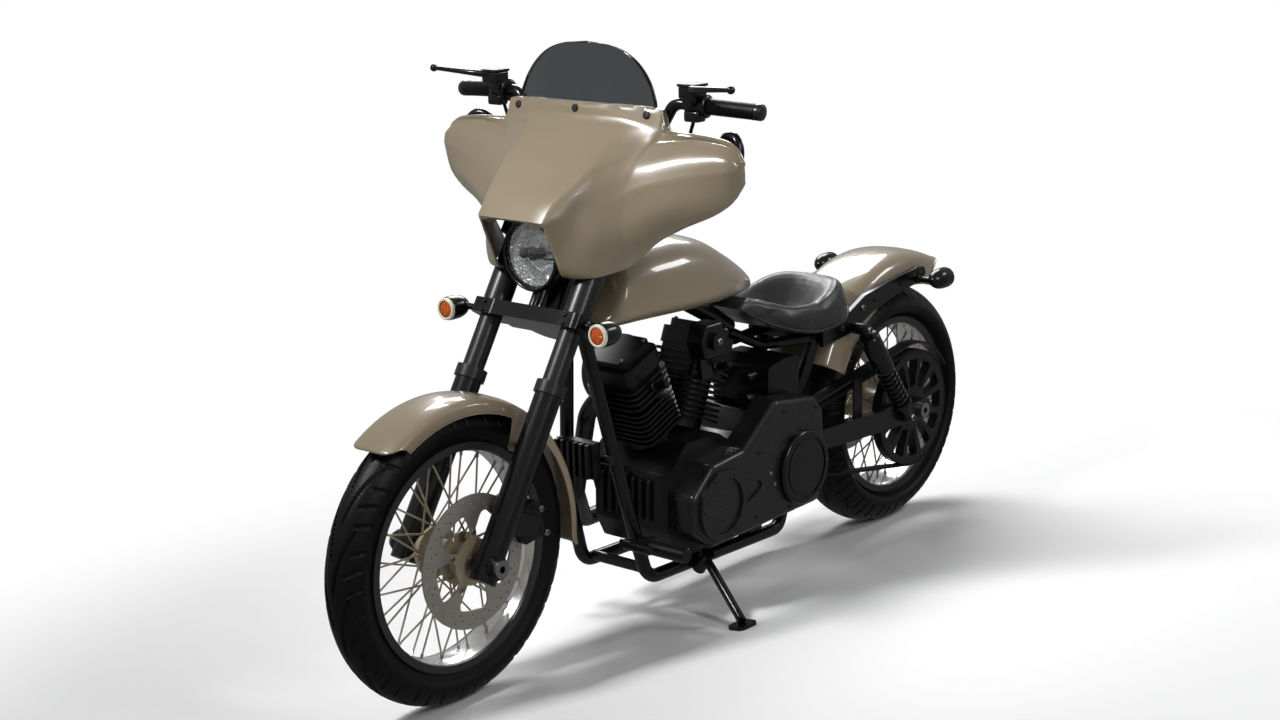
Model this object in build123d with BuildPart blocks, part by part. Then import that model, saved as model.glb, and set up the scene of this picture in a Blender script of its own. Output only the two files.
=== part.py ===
from build123d import *
import os
from math import cos, radians, sin, sqrt, tan

# Driving dimensions, millimetres and degrees, for the bike standing upright:
# X forward from the rear axle, Y to the rider's left, Z up from the ground.
LEAN = 8.0
WHEELBASE = 1605.0
RAKE = 31.5
STEM_OFFSET = 55.0
FORK_HALF = 121.0
FRONT_TYRE_HEIGHT = 79.0
FRONT_TYRE_HALF = 51.0
FRONT_SHOULDER = 44.0
FRONT_RIM_R = 252.0
FRONT_RIM_HALF = 42.0
REAR_TYRE_HEIGHT = 86.0
REAR_TYRE_HALF = 80.0
REAR_SHOULDER = 55.0
REAR_RIM_R = 238.0
REAR_RIM_HALF = 55.0
RIM_DEPTH = 24.0
AXLE_R = 12.5
AXLE_BORE_R = 8.0
SPOKE_R = 2.2
SPOKES_PER_SIDE = 20
DISC_R = 148.0
PULLEY_R = 152.0
FORK_TUBE_R = 24.5
FORK_COVER_R = 31.0
SLIDER_R = 30.0
STEM_R = 14.0
HEAD_TUBE_R = 33.0
LOWER_CLAMP = 550.0
UPPER_CLAMP = 740.0
BAR_R = 13.0
GRIP_R = 18.0
LAMP_R = 82.0
CRANK_X = 890.0
CRANK_Z = 310.0
VEE_HALF = 22.5
FIN_HALF = 75.0
TANK_TUNNEL_HALF = 45.0
SEAT_BASE = 618.0
FRAME_TUBE_R = 16.0
PRIMARY_IN = 124.0
PRIMARY_OUT = 190.0
SHOCK_Y = 162.0
BACKBONE_R = 22.0
STAND_X = 905.0
STAND_Y = 140.0
STAND_Z = 160.0
PAD_X = 968.0
PAD_Y = 300.0
STAND_LEG_R = 11.0
LUGGAGE_HOLE_R = 4.2
SIGNAL_R = 27.0
SEAT_GAP = 0.1

# Axle heights that put both leaning tyres on the ground
def crown(half, shoulder):
    return (half * half + shoulder * shoulder) / (2 * shoulder)


FRONT_TYRE_R = FRONT_RIM_R + FRONT_TYRE_HEIGHT
REAR_TYRE_R = REAR_RIM_R + REAR_TYRE_HEIGHT
LEAN_RISE = 1 / cos(radians(LEAN)) - 1
FRONT_AXLE_Z = FRONT_TYRE_R + crown(FRONT_TYRE_HALF, FRONT_SHOULDER) * LEAN_RISE
REAR_AXLE_Z = REAR_TYRE_R + crown(REAR_TYRE_HALF, REAR_SHOULDER) * LEAN_RISE
FRONT = Vector(WHEELBASE, 0, FRONT_AXLE_Z)
REAR = Vector(0, 0, REAR_AXLE_Z)
FRONT_AXIS = Axis((WHEELBASE, 0, FRONT_AXLE_Z), (0, 1, 0))
REAR_AXIS = Axis((0, 0, REAR_AXLE_Z), (0, 1, 0))

# Steering frame: u ahead of the stem, y to the left, t up the stem from axle level
UP_FORK = Vector(-sin(radians(RAKE)), 0, cos(radians(RAKE)))
AHEAD = Vector(cos(radians(RAKE)), 0, sin(radians(RAKE)))
STEM_FOOT = FRONT - AHEAD * STEM_OFFSET


def fork_point(u, y, t):
    return STEM_FOOT + AHEAD * u + Vector(0, y, 0) + UP_FORK * t


def fork_plane(t):
    return Plane(origin=fork_point(0, 0, t), x_dir=AHEAD, z_dir=UP_FORK)


def nose(x, y, z):
    """A point of the steered group, given for a wheelbase of 1605 and an axle 331.5 up."""
    return Vector(x - 1605 + WHEELBASE, y, z - 331.5 + FRONT_AXLE_Z)


def wheel_plane(centre, angle):
    """Plane through the axle: local x along the axle, local y out along the given angle."""
    return Plane(origin=centre, x_dir=(0, 1, 0), z_dir=(sin(radians(angle)), 0, -cos(radians(angle))))


# Small shapes used by many sub-parts
def rod(start, end, radius, mode=Mode.ADD):
    reach = Vector(*end) - Vector(*start)
    with Locations(Plane(origin=start, z_dir=reach).location):
        Cylinder(radius, reach.length, align=(Align.CENTER, Align.CENTER, Align.MIN), mode=mode)


def block(low, high, mode=Mode.ADD):
    middle = [(a + b) / 2 for a, b in zip(low, high)]
    size = [b - a for a, b in zip(low, high)]
    with Locations(tuple(middle)):
        Box(*size, mode=mode)


def slab(points, y_low, y_high, corner=0.0, mode=Mode.ADD):
    """A plate: outline of (x, z) points between two y values, corners rounded."""
    with BuildSketch(Plane.XZ.offset(-y_low)) as face:
        Polygon(*points, align=None)
        if corner:
            fillet(face.vertices(), corner)
    extrude(face.sketch, amount=-(y_high - y_low), mode=mode)


def tube(points, bend, radius, mode=Mode.ADD):
    with BuildLine() as path:
        FilletPolyline(*points, radius=bend)
    with BuildSketch(Plane(origin=path.line @ 0, z_dir=path.line % 0)) as ring:
        Circle(radius)
    sweep(ring.sketch, path=path.line, mode=mode)


def ring_of(centre, angle, points, axis, arc=360.0, mode=Mode.ADD):
    """Turn a closed outline of (axle, radius) points about an axle."""
    with BuildSketch(wheel_plane(centre, angle)) as face:
        Polygon(*points, align=None)
    revolve(face.sketch, axis=axis, revolution_arc=arc, mode=mode)


pieces = {}


def keep(part, name):
    part.label = name
    pieces[name] = part


# Tyres: one rounded crown, straight walls, a flat bead inside the rim
TYRES = [
    # name, centre, axis, radius, half width, shoulder, rim radius, rim half width
    ("front_tyre", FRONT, FRONT_AXIS, FRONT_TYRE_R, FRONT_TYRE_HALF, FRONT_SHOULDER, FRONT_RIM_R, FRONT_RIM_HALF),
    ("rear_tyre", REAR, REAR_AXIS, REAR_TYRE_R, REAR_TYRE_HALF, REAR_SHOULDER, REAR_RIM_R, REAR_RIM_HALF),
]
for name, centre, axis, radius, half, shoulder, rim_r, rim_half in TYRES:
    with BuildPart() as tyre:
        with BuildSketch(wheel_plane(centre, 90)):
            with BuildLine():
                ThreePointArc((-half, radius - shoulder), (0, radius), (half, radius - shoulder))
                Polyline(
                    (half, radius - shoulder),
                    (rim_half - 5, rim_r + 3),
                    (rim_half - 5, rim_r - 11),
                    (5 - rim_half, rim_r - 11),
                    (5 - rim_half, rim_r + 3),
                    (-half, radius - shoulder),
                )
            make_face()
        revolve(axis=axis)
    keep(tyre.part, name)

# Rims: two flanges and a barrel that drops to the spoke well
RIMS = [
    # name, centre, axis, flange radius, half width
    ("front_rim", FRONT, FRONT_AXIS, FRONT_RIM_R, FRONT_RIM_HALF),
    ("rear_rim", REAR, REAR_AXIS, REAR_RIM_R, REAR_RIM_HALF),
]
for name, centre, axis, rim_r, rim_half in RIMS:
    with BuildPart() as rim:
        well = rim_r - RIM_DEPTH
        lip = rim_half - 4.9
        outline = [
            (-rim_half, rim_r), (-lip, rim_r), (-lip, rim_r - 11.1), (lip, rim_r - 11.1), (lip, rim_r),
            (rim_half, rim_r), (rim_half, rim_r - 17), (14, well), (-14, well), (-rim_half, rim_r - 17),
        ]
        ring_of(centre, 90, outline, axis)
    keep(rim.part, name)

# Hubs with laced spokes
HUBS = [
    # name, centre, axis, rim well radius, flange place, left boss end, right boss end, boss radius
    ("front_hub_spokes", FRONT, FRONT_AXIS, FRONT_RIM_R - RIM_DEPTH, 38.0, 72.9, 72.0, 40.0),
    ("rear_hub_spokes", REAR, REAR_AXIS, REAR_RIM_R - RIM_DEPTH, 48.0, 91.9, 84.9, 44.0),
]
for name, centre, axis, well, flange, left_end, right_end, boss in HUBS:
    with BuildPart() as hub:
        bore = AXLE_R + SEAT_GAP
        outline = [
            (-right_end, bore), (-right_end, boss - 8), (-flange - 4, boss), (-flange - 4, 58), (-flange + 4, 58),
            (-flange + 4, 32), (flange - 4, 32), (flange - 4, 58), (flange + 4, 58), (flange + 4, boss),
            (left_end, boss), (left_end, bore),
        ]
        ring_of(centre, 90, outline, axis)
        places = []
        for side in (-1, 1):
            for index in range(SPOKES_PER_SIDE):
                lead = 1 if index % 2 else -1
                hub_turn = radians(360 / SPOKES_PER_SIDE * index + 9 * side)
                rim_turn = hub_turn + radians(38) * lead
                start = centre + Vector(51 * cos(hub_turn), side * (flange + 3.0 * lead), 51 * sin(hub_turn))
                end = centre + Vector(well * cos(rim_turn), side * (7 + 2.6 * lead), well * sin(rim_turn))
                places.append(Plane(origin=start, z_dir=end - start).location)
        length = (end - start).length + 4
        with Locations(*places):
            Cylinder(SPOKE_R, length, align=(Align.CENTER, Align.CENTER, Align.MIN))
        with Locations(Plane(origin=centre, z_dir=(0, 1, 0)).location):
            Cylinder(well - SEAT_GAP, 400, mode=Mode.INTERSECT)
    keep(hub.part, name)

# Brake discs: a ring with five lobes, an arm to each lobe and a centre that seats on the hub boss
DISCS = [
    # name, centre, inner face y, thickness towards the outside
    ("front_disc", FRONT, 73.0, 5.0),
    ("rear_disc", REAR, -85.0, -5.0),
]
for name, centre, face_y, thick in DISCS:
    with BuildPart() as disc:
        with BuildSketch(Plane.XZ.offset(-face_y)) as face:
            with Locations((centre.X, centre.Z)):
                Circle(DISC_R)
                Circle(DISC_R - 40, mode=Mode.SUBTRACT)
                with PolarLocations(DISC_R - 44, 5, start_angle=20):
                    Circle(24)
                with PolarLocations((DISC_R - 24) / 2, 5, start_angle=20):
                    Rectangle(DISC_R - 48, 18)
                Circle(46)
                Circle(26, mode=Mode.SUBTRACT)
        extrude(amount=-thick)
    keep(disc.part, name)

# Rear pulley: a toothless rim, twelve tapered windows and a hub
PULLEY_WINDOWS = 12
with BuildPart() as rear_pulley:
    with BuildSketch() as window:
        inner, outer = 58.0, PULLEY_R - 20
        gap = 360 / PULLEY_WINDOWS * 0.36
        Polygon(
            (inner, -inner * sin(radians(gap))), (outer, -outer * sin(radians(gap))),
            (outer, outer * sin(radians(gap))), (inner, inner * sin(radians(gap))), align=None,
        )
        fillet(window.vertices(), 6)
    with BuildSketch(Plane.XZ.offset(-92)) as wheel:
        with Locations((REAR.X, REAR.Z)):
            Circle(PULLEY_R)
            Circle(20, mode=Mode.SUBTRACT)
            with PolarLocations(0, PULLEY_WINDOWS):
                add(window.sketch, mode=Mode.SUBTRACT)
    extrude(wheel.sketch, amount=-26)
keep(rear_pulley.part, "rear_pulley")

# Axles, hollow, with a head and a nut outside the legs
AXLES = [
    # name, centre, half length to the outer faces
    ("front_axle", FRONT, FORK_HALF + 31.0),
    ("rear_axle", REAR, 148.0),
]
for name, centre, outside in AXLES:
    with BuildPart() as axle:
        rod(centre + Vector(0, -outside - 12, 0), centre + Vector(0, outside + 12, 0), AXLE_R)
        for side in (-1, 1):
            rod(centre + Vector(0, side * (outside + SEAT_GAP), 0), centre + Vector(0, side * (outside + 12), 0), 20)
        rod(centre + Vector(0, -outside - 20, 0), centre + Vector(0, outside + 20, 0), AXLE_BORE_R, Mode.SUBTRACT)
    keep(axle.part, name)

# Front fender: a crowned strip around the tyre with a tab to each fork leg
FENDER_R = FRONT_TYRE_R + 16
with BuildPart() as front_fender:
    with BuildSketch(wheel_plane(FRONT, 189)) as strip:
        with BuildLine():
            for wall in (0, 3.5):
                side, top, lip = 70 - wall, FENDER_R - wall, FENDER_R - 30
                Line((-side, lip), (-side, top - 18))
                ThreePointArc((-side, top - 18), (6 - side, top - 6), (20 - side, top))
                ThreePointArc((20 - side, top), (0, top + 5), (side - 20, top))
                ThreePointArc((side - 20, top), (side - 6, top - 6), (side, top - 18))
                Line((side, top - 18), (side, lip))
            for side in (-1, 1):
                Line((side * 70, FENDER_R - 30), (side * 66.5, FENDER_R - 30))
        make_face()
    revolve(strip.sketch, axis=FRONT_AXIS, revolution_arc=136)
    for side in (-1, 1):
        with BuildSketch(Plane.XZ.offset(-side * 66.6)) as tab:
            with Locations(Location((WHEELBASE, FRONT_AXLE_Z), RAKE + 90)):
                with Locations((FENDER_R - 62, 0)):
                    Rectangle(84, 44)
        extrude(tab.sketch, amount=-side * 3.4)
        foot = fork_point(STEM_OFFSET, 0, FENDER_R - 86)
        rod(foot + Vector(0, side * 67, 0), foot + Vector(0, side * (FORK_HALF - SLIDER_R - 1.1), 0), 12)
keep(front_fender.part, "front_fender")

# Fork sliders with axle blocks, fender pads and the caliper arm
with BuildPart() as fork_sliders:
    for side in (-1, 1):
        leg_low = fork_point(STEM_OFFSET, side * FORK_HALF, -38)
        leg_high = fork_point(STEM_OFFSET, side * FORK_HALF, 385)
        rod(leg_low, leg_high, SLIDER_R)
        rod(FRONT + Vector(0, side * (FORK_HALF - 28), 0), FRONT + Vector(0, side * (FORK_HALF + 31), 0), 27)
        foot = fork_point(STEM_OFFSET, 0, FENDER_R - 86)
        rod(foot + Vector(0, side * (FORK_HALF - SLIDER_R - 1), 0), foot + Vector(0, side * FORK_HALF, 0), 13)
    slab(
        [(WHEELBASE - 12, FRONT_AXLE_Z + 60), (WHEELBASE - 60, FRONT_AXLE_Z + 110),
         (WHEELBASE - 172, FRONT_AXLE_Z + 60), (WHEELBASE - 160, FRONT_AXLE_Z + 20)],
        FORK_HALF - 19, FORK_HALF - 7,
    )
    for side in (-1, 1):
        bore_low = fork_point(STEM_OFFSET, side * FORK_HALF, 190)
        bore_high = fork_point(STEM_OFFSET, side * FORK_HALF, 400)
        rod(bore_low, bore_high, FORK_TUBE_R + SEAT_GAP, Mode.SUBTRACT)
    rod(FRONT + Vector(0, -220, 0), FRONT + Vector(0, 220, 0), AXLE_R + SEAT_GAP, Mode.SUBTRACT)
keep(fork_sliders.part, "fork_sliders")

# Fork tubes with their dust collars and wide upper covers
with BuildPart() as fork_tubes:
    for side in (-1, 1):
        for low, high, radius in (
            (195, UPPER_CLAMP + 22, FORK_TUBE_R),
            (385.2, 412, SLIDER_R + 5),
            (LOWER_CLAMP + 17.1, UPPER_CLAMP - 14.1, FORK_COVER_R),
        ):
            start = fork_point(STEM_OFFSET, side * FORK_HALF, low)
            rod(start, start + UP_FORK * (high - low), radius)
keep(fork_tubes.part, "fork_tubes")

# Triple clamps and stem in one piece
with BuildPart() as triple_clamps:
    for level, half_thick, middle_reach in ((LOWER_CLAMP, 17, STEM_OFFSET + 36), (UPPER_CLAMP, 14, 40)):
        with BuildSketch(fork_plane(level - half_thick)) as plate:
            Circle(42)
            with Locations((STEM_OFFSET, FORK_HALF), (STEM_OFFSET, -FORK_HALF)):
                RectangleRounded(74, 76, 16)
            with Locations((middle_reach / 2, 0)):
                Rectangle(middle_reach, 2 * FORK_HALF - 40)
            with Locations((STEM_OFFSET, FORK_HALF), (STEM_OFFSET, -FORK_HALF)):
                Circle(FORK_TUBE_R + SEAT_GAP, mode=Mode.SUBTRACT)
        extrude(plate.sketch, amount=2 * half_thick)
    rod(fork_point(0, 0, LOWER_CLAMP), fork_point(0, 0, UPPER_CLAMP), STEM_R)
keep(triple_clamps.part, "triple_clamps")

# Front caliper around the left disc, bolted to the slider's arm
with BuildPart() as front_caliper:
    slab(
        [(WHEELBASE - 128, FRONT_AXLE_Z + 4), (WHEELBASE - 118, FRONT_AXLE_Z + 84),
         (WHEELBASE - 176, FRONT_AXLE_Z + 100), (WHEELBASE - 200, FRONT_AXLE_Z + 14)],
        54, FORK_HALF - 19.1, 12,
    )
    with Locations(Plane(origin=FRONT + Vector(0, 67, 0), z_dir=(0, 1, 0)).location):
        Cylinder(DISC_R + 6, 17, align=(Align.CENTER, Align.CENTER, Align.MIN), mode=Mode.SUBTRACT)
keep(front_caliper.part, "front_caliper")

# Headlamp: a shallow bucket with a bezel on a short post
LAMP = nose(1325, 0, 939)
with BuildPart() as headlamp:
    with BuildSketch(Plane.XZ) as half:
        Polygon(
            (LAMP.X - 66, LAMP.Z), (LAMP.X - 66, LAMP.Z + 52), (LAMP.X - 28, LAMP.Z + LAMP_R - 6),
            (LAMP.X - 26, LAMP.Z + LAMP_R), (LAMP.X - 4, LAMP.Z + LAMP_R), (LAMP.X, LAMP.Z + LAMP_R - 9),
            (LAMP.X - 16, LAMP.Z + LAMP_R - 11), (LAMP.X - 44, LAMP.Z + 40), (LAMP.X - 44, LAMP.Z), align=None,
        )
    revolve(half.sketch, axis=Axis((LAMP.X, 0, LAMP.Z), (1, 0, 0)))
    foot = fork_point(66, 0, LOWER_CLAMP + 17.1)
    knee = foot + UP_FORK * 26
    rod(foot, knee, 11)
    rod(knee - UP_FORK * 8, Vector(LAMP.X - 38, 0, LAMP.Z - LAMP_R + 24), 11)
keep(headlamp.part, "headlamp")

# Headlamp lens: a shallow dome inside the bezel
with BuildPart() as headlamp_lens:
    lens_r = LAMP_R - 11.5
    with BuildSketch(Plane.XZ) as half:
        Polygon(
            (LAMP.X + 2, LAMP.Z), (LAMP.X + 1, LAMP.Z + lens_r * 0.4), (LAMP.X - 4, LAMP.Z + lens_r * 0.75),
            (LAMP.X - 14, LAMP.Z + lens_r), (LAMP.X - 8, LAMP.Z + lens_r), (LAMP.X + 1, LAMP.Z + lens_r * 0.75),
            (LAMP.X + 6, LAMP.Z + lens_r * 0.4), (LAMP.X + 7, LAMP.Z), align=None,
        )
    revolve(half.sketch, axis=Axis((LAMP.X, 0, LAMP.Z), (1, 0, 0)))
keep(headlamp_lens.part, "headlamp_lens")

# Batwing fairing: side-view sections from wing tip to wing tip, hollow behind
FAIRING_BACK = 1118.0
FAIRING = [
    # y, top front, shoulder, ridge, brow, low, bulge between ridge and brow, bulge below the brow
    (0, (1160, 1256), (1166, 1226), (1296, 1110), (1386, 1028), (1325, 902), 3, 6),
    (94, (1153, 1256), (1161, 1225), (1294, 1109), (1380, 1027), (1312, 898), 3, 8),
    (121, (1149, 1256), (1158, 1224), (1282, 1121), (1360, 1037), (1306, 898), 6, 12),
    (165, (1143, 1255), (1153, 1219), (1247, 1145), (1325, 1052), (1290, 903), 9, 16),
    (205, (1137, 1253), (1148, 1213), (1217, 1163), (1297, 1072), (1268, 916), 11, 20),
    (224, (1134, 1250), (1146, 1210), (1205, 1169), (1283, 1081), (1256, 925), 11, 22),
    (240, (1133, 1207), (1144, 1201), (1193, 1175), (1272, 1090), (1245, 940), 12, 22),
    (285, (1132, 1204), (1140, 1200), (1168, 1187), (1245, 1107), (1222, 983), 12, 18),
    (325, (1131, 1203), (1138, 1198), (1151, 1192), (1219, 1117), (1195, 1010), 11, 15),
    (390, (1128, 1196), (1133, 1192), (1140, 1186), (1183, 1130), (1160, 1042), 8, 8),
    (424, (1126, 1180), (1130, 1177), (1134, 1171), (1161, 1136), (1142, 1072), 5, 5),
    (437, (1124, 1158), (1127, 1155), (1129, 1152), (1139, 1138), (1128, 1100), 2, 2),
]


def bowed(start, end, bulge):
    """Middle of an arc that bows out of the straight line to its left by the bulge."""
    dx, dz = end[0] - start[0], end[1] - start[1]
    span = sqrt(dx * dx + dz * dz)
    return ((start[0] + end[0]) / 2 - dz / span * bulge, (start[1] + end[1]) / 2 + dx / span * bulge)


def fairing_sections(inset, tail):
    """The fairing's section outlines, pulled in by the inset, run on behind and below by the tail."""
    faces = []
    rows = FAIRING if inset == 0 else FAIRING[:-1]
    mirrored = [(-row[0],) + row[1:] for row in rows[:0:-1]]
    dx = WHEELBASE - 1605
    dz = FRONT_AXLE_Z - 331.5
    back = FAIRING_BACK + dx - tail
    for y, top, shoulder, ridge, brow, low, bulge_top, bulge_low in mirrored + rows:
        top = (top[0] + dx - inset, top[1] + dz - inset)
        shoulder = (shoulder[0] + dx - inset, shoulder[1] + dz - inset * 0.6)
        ridge = (ridge[0] + dx - inset, ridge[1] + dz - inset * 0.8)
        brow = (brow[0] + dx - inset * 1.25, brow[1] + dz)
        low = (low[0] + dx - inset * 1.25, low[1] + dz)
        foot = (low[0], low[1] - tail)
        with BuildSketch(Plane.XZ.offset(-y)) as face:
            with BuildLine():
                Line((back, top[1]), top)
                Line(top, shoulder)
                Line(shoulder, ridge)
                ThreePointArc(ridge, bowed(ridge, brow, bulge_top), brow)
                ThreePointArc(brow, bowed(brow, low, bulge_low), low)
                if tail:
                    Line(low, foot)
                Line(foot, (back, foot[1]))
                Line((back, foot[1]), (back, top[1]))
            make_face()
        faces.append(face.sketch)
    return faces


with BuildPart() as fairing:
    loft(fairing_sections(0, 0), ruled=True)
    loft(fairing_sections(5.0, 60), ruled=True, mode=Mode.SUBTRACT)
    with BuildSketch(Plane.YZ.offset(LAMP.X - 160)) as opening:
        with Locations((0, LAMP.Z - 30)):
            Rectangle(2 * LAMP_R + 12, 236)
        fillet(opening.vertices().group_by(Axis.Z)[-1], 46)
    extrude(opening.sketch, amount=400, mode=Mode.SUBTRACT)
keep(fairing.part, "fairing")

# Inner fairing: a dash across the shell, speaker pods and two posts from the upper clamp
with BuildPart() as inner_fairing:
    loft(fairing_sections(5.2, 60), ruled=True)
    dash_low = nose(1121, -460, 1085)
    dash_high = nose(1129, 460, 1300)
    block(dash_low, dash_high, Mode.INTERSECT)
    for side in (-1, 1):
        pod = nose(1121, side * 305, 1130)
        rod(pod - Vector(44, 0, 0), pod + Vector(4, 0, 0), 62)
        gauge = nose(1121, side * 62, 1178)
        rod(gauge - Vector(22, 0, 0), gauge + Vector(4, 0, 0), 44)
        foot = fork_point(STEM_OFFSET + 20, side * (FORK_HALF - 29), UPPER_CLAMP + 14.1)
        rod(foot, foot + UP_FORK * 108, 7)
        head = foot + UP_FORK * 108
        block((dash_low.X, head.Y - 8, head.Z - 12), (head.X + 6, head.Y + 8, dash_low.Z + 14))
keep(inner_fairing.part, "inner_fairing")

# Windshield: a swept-back band trimmed to its rounded outline, standing on the fairing's top
with BuildPart() as windshield:
    base = nose(0, 0, 1200)
    front = nose(1150, 0, 0).X
    with BuildSketch(Plane.XY.offset(base.Z)) as band:
        with BuildLine():
            ThreePointArc((front - 18, -205), (front, 0), (front - 18, 205))
            Line((front - 18, 205), (front - 22, 205))
            ThreePointArc((front - 22, 205), (front - 4, 0), (front - 22, -205))
            Line((front - 22, -205), (front - 18, -205))
        make_face()
    extrude(band.sketch, amount=200, dir=(-0.16, 0, 0.987))
    with BuildSketch(Plane.YZ) as outline:
        with BuildLine():
            Polyline((203, base.Z + 50), (203, base.Z), (-203, base.Z), (-203, base.Z + 50))
            ThreePointArc((-203, base.Z + 50), (-172, base.Z + 120), (-110, base.Z + 168))
            ThreePointArc((-110, base.Z + 168), (0, base.Z + 186), (110, base.Z + 168))
            ThreePointArc((110, base.Z + 168), (172, base.Z + 120), (203, base.Z + 50))
        make_face()
    extrude(outline.sketch, amount=4000, mode=Mode.INTERSECT)
    loft(fairing_sections(0, 0), ruled=True, mode=Mode.SUBTRACT)
keep(windshield.part, "windshield")

# Handlebar on two risers
BAR_TOP = nose(1098, 232, 1262)
BAR_END = nose(1065, 443, 1251)
BAR_LINE = (BAR_END - BAR_TOP).normalized()
with BuildPart() as handlebar:
    middle = fork_point(-14, 0, UPPER_CLAMP + 100)
    left = [middle + Vector(0, 70, 0), BAR_TOP, BAR_END]
    right = [Vector(p.X, -p.Y, p.Z) for p in left]
    tube(right[::-1] + left, 34, BAR_R)
    for side in (-1, 1):
        foot = fork_point(0, side * 30, UPPER_CLAMP + 14.1)
        rod(foot, foot + UP_FORK * 20, 17)
        rod(foot + UP_FORK * 12, fork_point(-15, side * 30, UPPER_CLAMP + 114), 17)
keep(handlebar.part, "handlebar")

# Grips and hand controls with levers, on the straight ends of the bar
with BuildPart() as grips:
    for side in (-1, 1):
        start = BAR_END - BAR_LINE * 128
        end = BAR_END + BAR_LINE * 4
        rod((start.X, side * start.Y, start.Z), (end.X, side * end.Y, end.Z), GRIP_R)
        stop = BAR_END + BAR_LINE * 0.1
        rod((start.X, side * start.Y, start.Z), (stop.X, side * stop.Y, stop.Z), BAR_R + SEAT_GAP, Mode.SUBTRACT)
keep(grips.part, "grips")

with BuildPart() as hand_controls:
    for side in (-1, 1):
        start = BAR_END - BAR_LINE * 178
        end = BAR_END - BAR_LINE * 128.3
        rod((start.X, side * start.Y, start.Z), (end.X, side * end.Y, end.Z), 26)
        perch = start + Vector(-6, 4, 14)
        top = start + Vector(44, 48, 50)
        block((perch.X, min(side * perch.Y, side * top.Y), perch.Z), (top.X, max(side * perch.Y, side * top.Y), top.Z))
        lever = [start + Vector(34, 30, 38), start + Vector(58, 70, 42), start + Vector(72, 172, 48)]
        tube([(p.X, side * p.Y, p.Z) for p in lever], 18, 6)
        with Locations((lever[-1].X, side * lever[-1].Y, lever[-1].Z)):
            Sphere(9)
        rod((start.X, side * start.Y, start.Z), (end.X, side * end.Y, end.Z), BAR_R + SEAT_GAP, Mode.SUBTRACT)
keep(hand_controls.part, "hand_controls")

# Control cables from the hand controls into the fairing
with BuildPart() as control_cables:
    for side in (-1, 1):
        start = BAR_END - BAR_LINE * 160 + Vector(6, 0, -26.3)
        route = [start, start + Vector(0, -18, -48), nose(1092, 212, 1150), nose(1120.8, 206, 1118)]
        tube([(p.X, side * p.Y, p.Z) for p in route], 16, 4)
keep(control_cables.part, "control_cables")

# Front turn signals on short stalks from the lower clamp
with BuildPart() as front_signals:
    for side in (-1, 1):
        centre = nose(1355, side * 229, 797)
        with BuildSketch(Plane.XZ.offset(-centre.Y)) as half:
            Polygon(
                (centre.X, centre.Z), (centre.X, centre.Z + SIGNAL_R), (centre.X - 26, centre.Z + SIGNAL_R),
                (centre.X - 48, centre.Z + SIGNAL_R * 0.75), (centre.X - 62, centre.Z + SIGNAL_R * 0.35),
                (centre.X - 64, centre.Z), align=None,
            )
        revolve(half.sketch, axis=Axis(centre, (1, 0, 0)))
        stalk = fork_point(STEM_OFFSET, side * (FORK_HALF + 38.1), LOWER_CLAMP)
        rod(stalk, (stalk.X, centre.Y - side * 10, stalk.Z), 8)
keep(front_signals.part, "front_signals")

with BuildPart() as front_signal_lenses:
    for side in (-1, 1):
        centre = nose(1355.1, side * 229, 797)
        rod(centre, centre + Vector(11, 0, 0), SIGNAL_R - 2)
keep(front_signal_lenses.part, "front_signal_lenses")

# Frame: head tube, gusset, backbone, cradle, posts and the lugs the rest bolts to
HEAD_LOW = LOWER_CLAMP + 18.5
HEAD_HIGH = UPPER_CLAMP - 15.5
NECK = fork_point(0, 0, 640)
PIVOT = Vector(CRANK_X - 435, 0, 345)
POST = Vector(PIVOT.X - 70, 0, 590)
BACKBONE = [
    NECK,
    Vector(NECK.X - 124, 0, NECK.Z - 48),
    Vector(CRANK_X - 90, 0, 745),
    Vector(CRANK_X - 190, 0, 692),
    Vector(CRANK_X - 254, 0, 650),
]
DOWN_TOP = fork_point(-66, 0, 575) - Vector(14, 0, 0)
DOWN_LOW = Vector(CRANK_X + 238, 0, 340)
PLATE_BAR = DOWN_TOP + (DOWN_LOW - DOWN_TOP) * 0.74 + Vector(17, 0, 0)
STAND_PIVOT = Vector(STAND_X, STAND_Y, STAND_Z)
GROUND = Plane(origin=(0, 0, 0), x_dir=(1, 0, 0), z_dir=(0, -sin(radians(LEAN)), cos(radians(LEAN))))
PAD = Vector(PAD_X, PAD_Y, PAD_Y * tan(radians(LEAN)))
STAND_DOWN = (PAD - STAND_PIVOT).normalized()
STAND_UP = Vector(-0.98, 0.17, -0.06).normalized()
STAND_AXIS = STAND_DOWN.cross(STAND_UP).normalized()
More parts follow.
